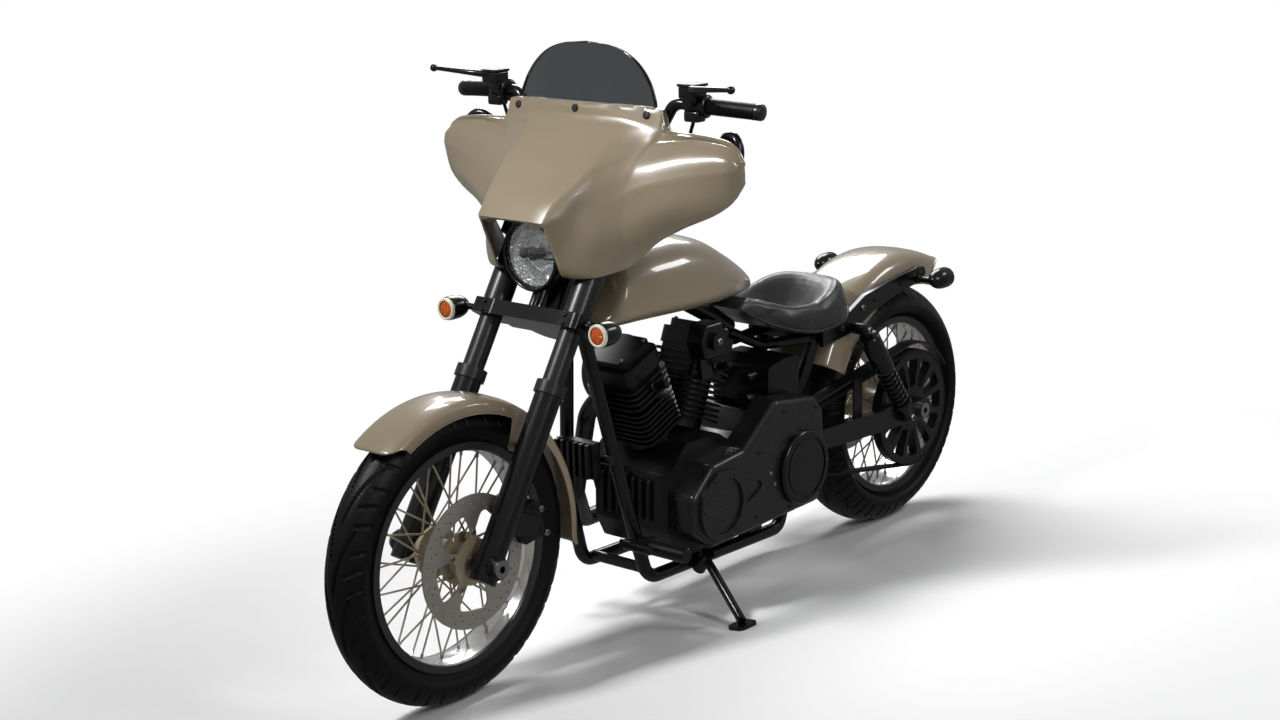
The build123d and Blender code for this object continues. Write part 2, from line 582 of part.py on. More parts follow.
with BuildPart() as frame:
    rod(fork_point(0, 0, HEAD_LOW), fork_point(0, 0, HEAD_HIGH), HEAD_TUBE_R)
    tube(BACKBONE, 44, BACKBONE_R)
    gusset = [
        fork_point(0, 0, 700), fork_point(0, 0, 590), fork_point(-66, 0, 566), fork_point(-124, 0, 604),
        fork_point(-100, 0, 650),
    ]
    slab([(p.X, p.Z) for p in gusset], -24, 24)
    for side in (-1, 1):
        cradle = [
            (DOWN_TOP.X, side * 22, DOWN_TOP.Z), (DOWN_LOW.X, side * 92, DOWN_LOW.Z),
            (CRANK_X + 180, side * 100, 146), (CRANK_X - 320, side * 100, 138),
            (PIVOT.X, side * 62, 280), (PIVOT.X - 14, side * 62, 450), (POST.X, side * 84, POST.Z),
        ]
        tube(cradle, 48, FRAME_TUBE_R)
        seat_end = BACKBONE[-1] + Vector(10, 0, -8)
        rail = [(seat_end.X, side * 12, seat_end.Z), (PIVOT.X + 105, side * 46, 596), (POST.X, side * 84, POST.Z)]
        tube(rail, 60, 13)
        rod((POST.X, side * 70, POST.Z), (POST.X, side * (106 - SEAT_GAP), POST.Z), 17)
        peg = Vector(CRANK_X + 206, 0, 240)
        rod((peg.X, side * 90, peg.Z), (peg.X, side * (125 - SEAT_GAP), peg.Z), 17)
        for back in (CRANK_X - 60, CRANK_X - 250):
            block((back, min(side * 68, side * 104), 134), (back + 50, max(side * 68, side * 104), 190 - SEAT_GAP))
        rod((PIVOT.X, side * 40, PIVOT.Z), (PIVOT.X, side * 88, PIVOT.Z), 28)
    for x, z, radius in ((CRANK_X + 160, 160, 13), (POST.X, POST.Z, 14), (PLATE_BAR.X, PLATE_BAR.Z, 11)):
        rod((x, -84, z), (x, 84, z), radius)
    block((POST.X - 25, -70, POST.Z - 10), (POST.X + 25, 70, SEAT_BASE - SEAT_GAP))
    pin = fork_point(-120, 0, 640)
    rod((pin.X, -TANK_TUNNEL_HALF + SEAT_GAP, pin.Z), (pin.X, TANK_TUNNEL_HALF - SEAT_GAP, pin.Z), 11)
    lug = STAND_PIVOT - STAND_AXIS * 16.4
    rod(lug - STAND_AXIS * 24, lug, 17)
    rod(lug - STAND_AXIS * 4, STAND_PIVOT + STAND_AXIS * 18, 7)
    rod(fork_point(0, 0, 400), fork_point(0, 0, 900), STEM_R + 0.3, Mode.SUBTRACT)
    rod((PIVOT.X, -120, PIVOT.Z), (PIVOT.X, 120, PIVOT.Z), 16 + SEAT_GAP, Mode.SUBTRACT)
keep(frame.part, "frame")

# Side stand: leg, pad and pivot eye on the frame's left lug
with BuildPart() as side_stand:
    rod(STAND_PIVOT - STAND_AXIS * 16, STAND_PIVOT + STAND_AXIS * 16, 17)
    rod(STAND_PIVOT, PAD + GROUND.z_dir * 14, STAND_LEG_R)
    with BuildSketch(GROUND) as pad:
        with Locations((PAD.X, PAD_Y / cos(radians(LEAN)))):
            RectangleRounded(64, 46, 14)
    extrude(pad.sketch, amount=9)
    rod(STAND_PIVOT - STAND_AXIS * 40, STAND_PIVOT + STAND_AXIS * 40, 7.3, Mode.SUBTRACT)
keep(side_stand.part, "side_stand")

# Engine and gearbox cases in one block, with the gearbox pulley's shaft
GEAR = Vector(CRANK_X - 330, 0, 325)
GEAR_R = 62.0
with BuildPart() as engine_cases:
    slab(
        [(CRANK_X - 130, 190), (CRANK_X + 100, 190), (CRANK_X + 132, 250), (CRANK_X + 128, 380),
         (CRANK_X + 60, 446), (CRANK_X - 60, 446), (CRANK_X - 130, 400)],
        -100, PRIMARY_IN - SEAT_GAP, 20,
    )
    slab(
        [(CRANK_X - 250, 190), (CRANK_X - 110, 190), (CRANK_X - 110, 398), (CRANK_X - 180, 412),
         (CRANK_X - 240, 455), (CRANK_X - 370, 455), (CRANK_X - 370, 330)],
        -84, 80, 14,
    )
    rod((GEAR.X, 70, GEAR.Z), (GEAR.X, PRIMARY_IN - SEAT_GAP, GEAR.Z), 34)
keep(engine_cases.part, "engine_cases")

# Cylinder barrels and heads, front and rear, each along its own axis from the crank
VEE = [
    # lean of the axis, positive forward
    (VEE_HALF, 1),
    (-VEE_HALF, -1),
]


def cylinder_plane(angle, distance):
    axis = Vector(sin(radians(angle)), 0, cos(radians(angle)))
    across = Vector(cos(radians(angle)), 0, -sin(radians(angle)))
    return Plane(origin=Vector(CRANK_X, 0, CRANK_Z) + axis * distance, x_dir=across, z_dir=axis)


with BuildPart() as cylinder_barrels:
    for angle, side in VEE:
        with Locations(cylinder_plane(angle, 146).location):
            Cylinder(56, 120 - SEAT_GAP, align=(Align.CENTER, Align.CENTER, Align.MIN))
        for fin in range(7):
            with BuildSketch(cylinder_plane(angle, 172 + 13.5 * fin)) as outline:
                RectangleRounded(2 * FIN_HALF - 12, 2 * FIN_HALF, 24)
            extrude(outline.sketch, amount=5)
    slab(
        [(CRANK_X - 400, 100), (CRANK_X + 400, 100), (CRANK_X + 400, 380.1), (CRANK_X + 128, 380.1),
         (CRANK_X + 60, 446.1), (CRANK_X - 60, 446.1), (CRANK_X - 130, 400.1), (CRANK_X - 400, 400.1)],
        -120, 130, mode=Mode.SUBTRACT,
    )
keep(cylinder_barrels.part, "cylinder_barrels")

with BuildPart() as cylinder_heads:
    for angle, side in VEE:
        with BuildSketch(cylinder_plane(angle, 266)) as low_head:
            RectangleRounded(2 * FIN_HALF - 30, 2 * FIN_HALF - 20, 20)
        extrude(low_head.sketch, amount=74)
        for fin in range(4):
            with BuildSketch(cylinder_plane(angle, 272 + 15 * fin)) as outline:
                RectangleRounded(2 * FIN_HALF - 8, 2 * FIN_HALF, 24)
            extrude(outline.sketch, amount=6)
        with BuildSketch(cylinder_plane(angle, 336)) as cover:
            RectangleRounded(2 * FIN_HALF - 18, 2 * FIN_HALF - 8, 26)
        extrude(cover.sketch, amount=40)
        with BuildSketch(cylinder_plane(angle, 376)) as lid:
            RectangleRounded(2 * FIN_HALF - 40, 2 * FIN_HALF - 34, 20)
        extrude(lid.sketch, amount=20)
keep(cylinder_heads.part, "cylinder_heads")

# Cam cover with the four pushrod tubes
with BuildPart() as cam_cover:
    slab(
        [(CRANK_X - 70, 240), (CRANK_X + 70, 240), (CRANK_X + 96, 320), (CRANK_X + 66, 420), (CRANK_X - 66, 420),
         (CRANK_X - 96, 320)],
        -146, -100.1, 22,
    )
    fillet(cam_cover.faces().sort_by(Axis.Y)[0].edges(), 12)
    for angle, side in VEE:
        for across in (-20, 16):
            start = cylinder_plane(angle, 96).from_local_coords((across * side, -120, 0))
            end = cylinder_plane(angle, 270).from_local_coords((across * side, -FIN_HALF - 11, 0))
            rod(start, end, 9)
keep(cam_cover.part, "cam_cover")

# Air cleaner on its intake, right side
with BuildPart() as air_cleaner:
    rod((CRANK_X, -FIN_HALF - SEAT_GAP, 575), (CRANK_X, -124, 575), 46)
    block((CRANK_X - 72, -FIN_HALF - 8, 578), (CRANK_X + 72, -FIN_HALF - SEAT_GAP, 602))
    rod((CRANK_X, -122, 575), (CRANK_X, -182, 575), 88)
    fillet(air_cleaner.faces().sort_by(Axis.Y)[0].edges(), 14)
    rod((CRANK_X, -180, 575), (CRANK_X, -188, 575), 58)
keep(air_cleaner.part, "air_cleaner")

# Horn cover on its bracket, left side
with BuildPart() as horn:
    horn_x = CRANK_X - 42
    face = [(-36, 632), (34, 632), (46, 676), (30, 716), (-28, 716), (-42, 676)]
    slab([(horn_x + x, z) for x, z in face], 84, 134, 9)
    fillet(horn.faces().sort_by(Axis.Y)[-1].edges(), 8)
    rod((horn_x, 130, 674), (horn_x, 146, 674), 22)
    slab([(horn_x + x, z) for x, z in ((-48, 570), (-8, 570), (2, 650), (-32, 650))], FIN_HALF + SEAT_GAP, 86)
keep(horn.part, "horn")

# Primary cover and the round clutch cover
with BuildPart() as primary_cover:
    slab(
        [(CRANK_X - 370, 212), (CRANK_X + 40, 200), (CRANK_X + 110, 250), (CRANK_X + 114, 336), (CRANK_X + 40, 400),
         (CRANK_X - 78, 412), (CRANK_X - 200, 504), (CRANK_X - 360, 482), (CRANK_X - 394, 440), (CRANK_X - 398, 260)],
        PRIMARY_IN, PRIMARY_OUT, 22,
    )
    fillet(primary_cover.faces().sort_by(Axis.Y)[-1].edges(), 14)
    slab(
        [(CRANK_X - 50, 262), (CRANK_X - 160, 314), (CRANK_X - 50, 350)],
        PRIMARY_OUT - 5, PRIMARY_OUT + 1, 12, Mode.SUBTRACT,
    )
    rod((CRANK_X + 12, PRIMARY_OUT - 8, 299), (CRANK_X + 12, PRIMARY_OUT + 10, 299), 84)
    rod((CRANK_X + 12, PRIMARY_OUT + 3, 299), (CRANK_X + 12, PRIMARY_OUT + 11, 299), 68, Mode.SUBTRACT)
    rod((CRANK_X - 299, PRIMARY_OUT - 8, 318), (CRANK_X - 299, PRIMARY_OUT, 318), 100)
keep(primary_cover.part, "primary_cover")

with BuildPart() as clutch_cover:
    clutch_x = CRANK_X - 299
    rod((clutch_x, PRIMARY_OUT + SEAT_GAP, 318), (clutch_x, PRIMARY_OUT + 17, 318), 92)
    fillet(clutch_cover.faces().sort_by(Axis.Y)[-1].edges(), 8)
    rod((clutch_x, PRIMARY_OUT + 14, 318), (clutch_x, PRIMARY_OUT + 18, 318), 76, Mode.SUBTRACT)
    rod((clutch_x, PRIMARY_OUT + 10, 318), (clutch_x, PRIMARY_OUT + 16, 318), 70)
keep(clutch_cover.part, "clutch_cover")

# Exhaust: a pipe from each head to a muffler on the right
EXHAUSTS = [
    # cylinder angle, side, pipe points after the port as (x from the crank, y, z), muffler end
    (VEE_HALF, 1, [(145, -150, 300), (60, -205, 200), (-330, -228, 200)], (-40, -228, 214)),
    (-VEE_HALF, -1, [(-240, -150, 430), (-284, -228, 330), (-350, -228, 326)], (40, -228, 330)),
]
with BuildPart() as exhaust:
    for angle, side, places, muffler_end in EXHAUSTS:
        port = cylinder_plane(angle, 296).from_local_coords((side * (FIN_HALF - 4 + SEAT_GAP), -36, 0))
        ahead = cylinder_plane(angle, 296).from_local_coords((side * (FIN_HALF + 40), -36, 0))
        route = [Vector(CRANK_X + x, y, z) for x, y, z in places]
        tube([port, ahead] + route, 34, 21)
        muffler = Plane(origin=route[-1], z_dir=Vector(*muffler_end) - route[-1])
        length = (Vector(*muffler_end) - route[-1]).length
        with Locations(muffler.location):
            Cone(22, 40, 70, align=(Align.CENTER, Align.CENTER, Align.MIN))
        with Locations(muffler.offset(70).location):
            Cylinder(40, length - 100, align=(Align.CENTER, Align.CENTER, Align.MIN))
        with Locations(muffler.offset(length - 30).location):
            Cone(40, 34, 30, align=(Align.CENTER, Align.CENTER, Align.MIN))
        with Locations(muffler.offset(length - 120).location):
            Cylinder(28, 121, align=(Align.CENTER, Align.CENTER, Align.MIN), mode=Mode.SUBTRACT)
keep(exhaust.part, "exhaust")

# Fuel tank: lofted sections, the front one parallel to the fork, with a tunnel for the backbone
TANK_BACK = CRANK_X - 302
TANK_FACE = fork_point(-63, 0, 650)
TANK_ROWS = [
    # share of the length from the tail, half width, bottom z, top z, corner
    (0.78, 134, 764, 926, 50),
    (0.51, 140, 746, 918, 54),
    (0.26, 108, 740, 868, 46),
    (0.0, 46, 742, 780, 14),
]
with BuildPart() as fuel_tank:
    sections = []
    with BuildSketch(Plane(origin=TANK_FACE, x_dir=(0, 1, 0), z_dir=AHEAD)) as face:
        RectangleRounded(232, 120, 44)
    sections.append(face.sketch)
    for share, half, low, high, corner in TANK_ROWS:
        x = TANK_BACK + share * (TANK_FACE.X - TANK_BACK)
        with BuildSketch(Plane(origin=(x, 0, (low + high) / 2), x_dir=(0, 1, 0), z_dir=(1, 0, 0))) as face:
            RectangleRounded(2 * half, high - low, corner)
        sections.append(face.sketch)
    loft(sections)
    roof = [(p.X, p.Z + BACKBONE_R + 14) for p in BACKBONE[:4]]
    floor = [(BACKBONE[3].X, 600), (NECK.X + 96, 600), (NECK.X + 96, roof[0][1])]
    slab(roof + floor, -TANK_TUNNEL_HALF, TANK_TUNNEL_HALF, mode=Mode.SUBTRACT)
keep(fuel_tank.part, "fuel_tank")

with BuildPart() as fuel_cap:
    rod((960, -60, 915), (960, -60, 944), 34)
    loft(sections, mode=Mode.SUBTRACT)
keep(fuel_cap.part, "fuel_cap")

# Rear fender with a rounded tail, and the struts that carry it
STRUT_IN = 106.0
STRUT_OUT = 118.0
STRUT_TOP = [(POST.X + 17, 612), (300, 634), (221, 670), (124, 686), (-20, 703), (-52, 700)]
STRUT_LOW = [(-58, 680), (-40, 664), (24, 656), (86, 645), (184, 622), (262, 586), (POST.X + 17, 570)]
LUGGAGE_POINTS = [(60, 672), (180, 650)]


REAR_LIP = REAR_TYRE_R + 6


def rear_arch(grow):
    """Lines of the rear fender's section about the axle, from lip to lip, grown by an amount."""
    side = STRUT_IN - 0.3 + grow
    rise = REAR_TYRE_R + grow
    Line((-side, REAR_LIP), (-side, rise + 48))
    ThreePointArc((-side, rise + 48), (10 - side, rise + 77), (40 - side, rise + 89))
    ThreePointArc((40 - side, rise + 89), (0, rise + 94), (side - 40, rise + 89))
    ThreePointArc((side - 40, rise + 89), (side - 10, rise + 77), (side, rise + 48))
    Line((side, rise + 48), (side, REAR_LIP))
    return side


with BuildPart() as rear_fender:
    with BuildSketch(wheel_plane(REAR, 128)) as strip:
        with BuildLine():
            outer = rear_arch(0)
            inner = rear_arch(-3.5)
            for side in (-1, 1):
                Line((side * outer, REAR_LIP), (side * inner, REAR_LIP))
        make_face()
    revolve(strip.sketch, axis=REAR_AXIS, revolution_arc=101)
    with BuildSketch(Plane.XY) as plan:
        with BuildLine():
            ThreePointArc((-95, -STRUT_IN), (-195, 0), (-95, STRUT_IN))
            Polyline((-95, STRUT_IN), (600, STRUT_IN), (600, -STRUT_IN), (-95, -STRUT_IN))
        make_face()
    extrude(plan.sketch, amount=2000, mode=Mode.INTERSECT)
keep(rear_fender.part, "rear_fender")

with BuildPart() as fender_struts:
    for side in (-1, 1):
        faces = sorted((side * STRUT_IN, side * STRUT_OUT))
        slab(STRUT_TOP + STRUT_LOW, *faces)
    for x, z in LUGGAGE_POINTS:
        rod((x, -130, z), (x, 130, z), LUGGAGE_HOLE_R, Mode.SUBTRACT)
keep(fender_struts.part, "fender_struts")

# Rear turn signals on the ends of the struts, lenses facing back
with BuildPart() as rear_signals:
    for side in (-1, 1):
        centre = Vector(-48, side * 184, 680)
        with BuildSketch(Plane.XZ.offset(-centre.Y)) as half:
            Polygon(
                (centre.X, centre.Z), (centre.X, centre.Z + SIGNAL_R), (centre.X + 26, centre.Z + SIGNAL_R),
                (centre.X + 48, centre.Z + SIGNAL_R * 0.75), (centre.X + 62, centre.Z + SIGNAL_R * 0.35),
                (centre.X + 64, centre.Z), align=None,
            )
        revolve(half.sketch, axis=Axis(centre, (1, 0, 0)))
        rod((centre.X + 26, side * (STRUT_OUT + SEAT_GAP), centre.Z - 8), (centre.X + 26, centre.Y - side * 10, centre.Z - 8), 8)
keep(rear_signals.part, "rear_signals")

with BuildPart() as rear_signal_lenses:
    for side in (-1, 1):
        rod((-48.1, side * 184, 680), (-59, side * 184, 680), SIGNAL_R - 2)
keep(rear_signal_lenses.part, "rear_signal_lenses")

# Solo seat: side profile trimmed by its plan and hollowed to sit over the fender
SEAT_ROOM = 0.2
with BuildPart() as seat:
    with BuildSketch(Plane.XZ) as profile:
        with BuildLine():
            Polyline((704, 722), (610, 670), (520, SEAT_BASE), (236, SEAT_BASE), (232, 650), (240, 692), (264, 708))
            ThreePointArc((264, 708), (440, 654), (596, 694))
            ThreePointArc((596, 694), (650, 723), (704, 735))
            Line((704, 735), (704, 722))
        make_face()
    extrude(profile.sketch, amount=160, both=True)
    with BuildSketch(Plane.XY.offset(SEAT_BASE - 60)) as plan:
        with BuildLine():
            Polyline((704, 88), (640, 102), (560, 134), (490, 150), (420, 150))
            ThreePointArc((420, 150), (272, 100), (232, 0))
            ThreePointArc((232, 0), (272, -100), (420, -150))
            Polyline((420, -150), (490, -150), (560, -134), (640, -102), (704, -88), (704, 88))
        make_face()
    extrude(plan.sketch, amount=240, mode=Mode.INTERSECT)
    wide = STRUT_OUT + SEAT_ROOM
    with BuildSketch(wheel_plane(REAR, 128)) as room:
        with BuildLine():
            side = rear_arch(SEAT_ROOM)
            Polyline((-side, REAR_LIP), (-wide, REAR_LIP), (-wide, 100), (wide, 100), (wide, REAR_LIP), (side, REAR_LIP))
        make_face()
    revolve(room.sketch, axis=REAR_AXIS, revolution_arc=128, mode=Mode.SUBTRACT)
    under = [(x + SEAT_ROOM, z + SEAT_ROOM) for x, z in STRUT_TOP]
    slab(under + [(under[-1][0], 500), (under[0][0], 500)], -wide, wide, mode=Mode.SUBTRACT)
keep(seat.part, "seat")

# Battery box on the gearbox, with a coil and a starter on its side
with BuildPart() as battery_box:
    front = CRANK_X - 270
    slab([(front - 124, 455.1), (front, 455.1), (front, 558), (front - 60, 570), (front - 124, 570)], -60, 112, 12)
    for z, radius, length in ((480, 22, 50), (534, 17, 40)):
        rod((front - 8, 70, z), (front + length, 70, z), radius)
keep(battery_box.part, "battery_box")

# Regulator ahead of the cradle
with BuildPart() as regulator:
    seat_x = PLATE_BAR.X + 11 + SEAT_GAP
    block((seat_x, -56, PLATE_BAR.Z - 42), (seat_x + 24, 56, PLATE_BAR.Z + 42))
    for fin in range(6):
        low_y = -54 + 18.8 * fin
        block((seat_x + 18, low_y, PLATE_BAR.Z - 40), (seat_x + 36, low_y + 8, PLATE_BAR.Z + 40))
keep(regulator.part, "regulator")

# Swingarm: cross tube, two arms, axle holes
with BuildPart() as swingarm:
    rod((PIVOT.X, -148, PIVOT.Z), (PIVOT.X, 148, PIVOT.Z), 16)
    for side in (-1, 1):
        slab(
            [(PIVOT.X + 27, PIVOT.Z - 25), (PIVOT.X + 27, PIVOT.Z + 25), (300, (PIVOT.Z + REAR_AXLE_Z) / 2 + 31),
             (60, REAR_AXLE_Z + 27), (-34, REAR_AXLE_Z + 25), (-48, REAR_AXLE_Z - 1), (-34, REAR_AXLE_Z - 27),
             (60, REAR_AXLE_Z - 25), (300, (PIVOT.Z + REAR_AXLE_Z) / 2 - 25)],
            min(side * 124, side * 148), max(side * 124, side * 148), 8,
        )
    rod(REAR + Vector(0, -200, 0), REAR + Vector(0, 200, 0), AXLE_R + SEAT_GAP, Mode.SUBTRACT)
keep(swingarm.part, "swingarm")

# Rear shocks between struts and swingarm
SHOCK_TOP = Vector(282, 0, 598)
SHOCK_LOW = Vector(84, 0, 326)
with BuildPart() as rear_shocks:
    for side in (-1, 1):
        top = SHOCK_TOP + Vector(0, side * SHOCK_Y, 0)
        low = SHOCK_LOW + Vector(0, side * SHOCK_Y, 0)
        along = (low - top).normalized()
        rod(top, low, 10)
        rod(top + along * 24, top + along * 150, 27)
        for coil in range(6):
            rod(top + along * (158 + 20 * coil), top + along * (169 + 20 * coil), 27)
        rod(top + along * 150, top + along * 280, 20)
        rod((top.X, side * (STRUT_OUT + SEAT_GAP), top.Z), (top.X, side * (SHOCK_Y + 12), top.Z), 15)
        rod((low.X, side * 148.1, low.Z), (low.X, side * (SHOCK_Y + 12), low.Z), 15)
keep(rear_shocks.part, "rear_shocks")

# Drive belt around the two pulleys, with the gearbox pulley it runs on
def belt_outline(grow):
    """Loop around both pulleys, grown by an amount, as two circles and their tangent strip."""
    span = GEAR - REAR
    lean_in = (PULLEY_R - GEAR_R) / span.length
    fall = sqrt(1 - lean_in * lean_in)
    big, small = PULLEY_R + grow, GEAR_R + grow
    x_dir = span.normalized()
    z_dir = Vector(-x_dir.Z, 0, x_dir.X)
    corners = []
    for centre, radius, sign in ((REAR, big, 1), (GEAR, small, 1), (GEAR, small, -1), (REAR, big, -1)):
        point = centre + x_dir * (radius * lean_in) + z_dir * (sign * radius * fall)
        corners.append((point.X, point.Z))
    with BuildSketch(Plane.XZ.offset(-92)) as face:
        Polygon(*corners, align=None)
        with Locations((REAR.X, REAR.Z)):
            Circle(big)
        with Locations((GEAR.X, GEAR.Z)):
            Circle(small)
    return face.sketch


with BuildPart() as drive_belt:
    extrude(belt_outline(6.3), amount=-26)
    extrude(belt_outline(0.3), amount=-26, mode=Mode.SUBTRACT)
keep(drive_belt.part, "drive_belt")

# Belt guard above the upper run, with a tab to the left arm
with BuildPart() as belt_guard:
    slab([(20, 497.3), (448, 427.6), (449, 434), (20, 503.8)], 88, 121)
    arch = [(88, PULLEY_R + 22), (121, PULLEY_R + 22), (121, PULLEY_R + 28), (88, PULLEY_R + 28)]
    ring_of(REAR, 150, arch, REAR_AXIS, 70)
    slab([(240, 318), (276, 318), (276, 458), (240, 464)], 119.6, 123.9)
keep(belt_guard.part, "belt_guard")

# Forward foot controls with pegs and pedals
with BuildPart() as forward_controls:
    for side in (-1, 1):
        foot_x = CRANK_X + 190
        arm = [(0, 226), (38, 226), (116, 262), (110, 280), (30, 258), (0, 258)]
        slab([(foot_x + x, z) for x, z in arm], *sorted((side * 125, side * 139)))
        rod((foot_x + 20, side * 139, 238), (foot_x + 20, side * 246, 238), 17)
        rod((foot_x + 110, side * 139, 270), (foot_x + 110, side * 214, 270), 11)
keep(forward_controls.part, "forward_controls")

# Rear caliper over the right disc, held by the right arm
with BuildPart() as rear_caliper:
    slab([(70, 340), (150, 340), (150, 440), (110, 458), (60, 430)], -123.9, -66, 12)
    with Locations(Plane(origin=REAR + Vector(0, -96, 0), z_dir=(0, 1, 0)).location):
        Cylinder(DISC_R + 6, 17, align=(Align.CENTER, Align.CENTER, Align.MIN), mode=Mode.SUBTRACT)
keep(rear_caliper.part, "rear_caliper")

# Lean the whole bike onto its stand and centre the origin under it
leaned = {name: part.moved(Location((0, 0, 0), (-LEAN, 0, 0))) for name, part in pieces.items()}
box = Compound(children=[part.moved(Location()) for part in leaned.values()]).bounding_box()
SHIFT = (-(box.min.X + box.max.X) / 2, -(box.min.Y + box.max.Y) / 2, -box.min.Z)
os.makedirs("parts", exist_ok=True)
for name, part in leaned.items():
    placed = part.moved(Location(SHIFT))
    placed.label = name
    export_step(placed, f"parts/{name}.step")
print("origin shift", SHIFT)
print("size", box.size)
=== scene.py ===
# %% [markdown]
# # A cruiser motorcycle with a fork-mounted fairing
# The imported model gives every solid, joint and moving body of the bike in metres, leaning on its
# side stand. This lesson dresses that model: it keeps the solids whose shape is already right and
# gives them a finish, and it makes a finer piece for each one that needs smooth or small forms.

import math

import bmesh
import bpy
import numpy as np
from mathutils import Matrix, Vector


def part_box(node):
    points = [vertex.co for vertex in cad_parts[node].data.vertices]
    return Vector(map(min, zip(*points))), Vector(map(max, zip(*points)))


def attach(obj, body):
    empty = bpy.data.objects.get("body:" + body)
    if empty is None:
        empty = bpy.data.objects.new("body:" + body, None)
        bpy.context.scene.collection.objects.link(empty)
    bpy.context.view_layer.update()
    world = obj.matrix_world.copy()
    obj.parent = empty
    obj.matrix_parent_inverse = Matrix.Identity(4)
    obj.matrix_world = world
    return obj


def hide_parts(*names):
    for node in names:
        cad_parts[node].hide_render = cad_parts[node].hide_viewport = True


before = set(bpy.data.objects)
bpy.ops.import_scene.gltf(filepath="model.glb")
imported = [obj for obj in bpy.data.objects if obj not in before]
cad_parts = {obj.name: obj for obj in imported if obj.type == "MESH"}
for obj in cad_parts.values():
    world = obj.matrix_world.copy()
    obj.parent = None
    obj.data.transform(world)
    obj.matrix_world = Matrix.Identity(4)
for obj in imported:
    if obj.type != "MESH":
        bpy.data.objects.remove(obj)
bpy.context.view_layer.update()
scene = bpy.context.scene

# %% [markdown]
# ## One set of bike millimetres
# A motorcycle is drawn standing upright, with x forward from the rear axle, y to the rider's left
# and z up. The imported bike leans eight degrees, so typing its points by hand would be hard.
# One matrix, hung on the middle of the rear axle, turns upright millimetres into the leaning frame.

# %% Bike millimetres to the frame
LEAN = math.radians(8)
REAR_AXLE = Vector((0, 0, 324.842))
FRONT_AXLE = Vector((1605, 0, 331.507))


def middle_of(node):
    low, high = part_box(node)
    return (Vector(low) + Vector(high)) / 2


TILT = Matrix.Rotation(-LEAN, 4, "X")
TO_METRES = Matrix.Scale(0.001, 4)
BIKE = Matrix.Translation(middle_of("rear_axle")) @ TILT @ TO_METRES @ Matrix.Translation(-REAR_AXLE)
miss = (BIKE @ FRONT_AXLE - middle_of("front_axle")).length
print("front axle misses its solid by", round(miss * 1000, 2), "mm")

# %% [markdown]
# ## The camera
# The place, turn and lens were fitted to the outlines of both wheels in the photograph.
# The camera leans with the bike, so the bike fills the frame as it does there.

# %% Camera
FOCAL_PIXELS, PHOTO_PIXELS, SENSOR = 2124.37, 1280, 36
eye = Vector((4591.39, 3164.48, 1819.42))
yaw, pitch, roll = math.radians(221.1), math.radians(-13.85), math.radians(-1.28)
ahead = Vector((math.cos(pitch) * math.cos(yaw), math.cos(pitch) * math.sin(yaw), math.sin(pitch)))
level = ahead.cross(Vector((0, 0, 1))).normalized()
above = level.cross(ahead)
right = math.cos(roll) * level + math.sin(roll) * above
above = -math.sin(roll) * level + math.cos(roll) * above
turn = TILT.to_3x3() @ Matrix((right, above, -ahead)).transposed()
camera = bpy.data.objects.new("camera", bpy.data.cameras.new("camera"))
scene.collection.objects.link(camera)
camera.matrix_world = Matrix.Translation(BIKE @ eye) @ turn.to_4x4()
camera.data.lens = FOCAL_PIXELS / PHOTO_PIXELS * SENSOR
camera.data.sensor_width = SENSOR
camera.data.clip_end = 100
scene.camera = camera
print("camera at", camera.matrix_world.translation)

# %% [markdown]
# ## Studio light
# The bike stands before white. The sky is white for the camera and through glass, and metal and
# gloss paint mirror a share of that white, because a room that is white all round would turn black
# paint grey. Four soft lamps do the lighting, and their shapes are the bright lines in the paint.

# %% Shader nodes
def add_node(tree, kind, sockets=None, **settings):
    """A shader node with its settings; each socket takes a value or another node's output."""
    node = tree.nodes.new("ShaderNode" + kind)
    for label, value in settings.items():
        setattr(node, label, value)
    for label, value in (sockets or {}).items():
        if isinstance(value, bpy.types.NodeSocket):
            tree.links.new(value, node.inputs[label])
        else:
            node.inputs[label].default_value = value
    return node


def math_node(tree, operation, first, second):
    return add_node(tree, "Math", {0: first, 1: second}, operation=operation).outputs[0]


def mix_colours(tree, share, first, second):
    return add_node(tree, "Mix", {0: share, 6: first, 7: second}, data_type="RGBA").outputs[2]


# %% World
GLOSS_SHARE = 0.20
scene.view_settings.view_transform = "Standard"
world = bpy.data.worlds.new("studio")
scene.world = world
world.use_nodes = True
sky = world.node_tree
sky.nodes.clear()
rays = add_node(sky, "LightPath").outputs
seen = math_node(sky, "MAXIMUM", rays["Is Camera Ray"], rays["Is Transmission Ray"])
in_gloss = math_node(sky, "MULTIPLY", rays["Is Glossy Ray"], GLOSS_SHARE)
white_share = math_node(sky, "MAXIMUM", seen, in_gloss)
lamp_sky = add_node(sky, "Background", {"Color": (0.95, 0.97, 1.0, 1), "Strength": 0.11})
white_sky = add_node(sky, "Background", {"Color": (1, 1, 1, 1), "Strength": 1.0})
either = add_node(sky, "MixShader", {0: white_share, 1: lamp_sky.outputs[0], 2: white_sky.outputs[0]})
add_node(sky, "OutputWorld", {"Surface": either.outputs[0]})
print("white in reflections", GLOSS_SHARE)

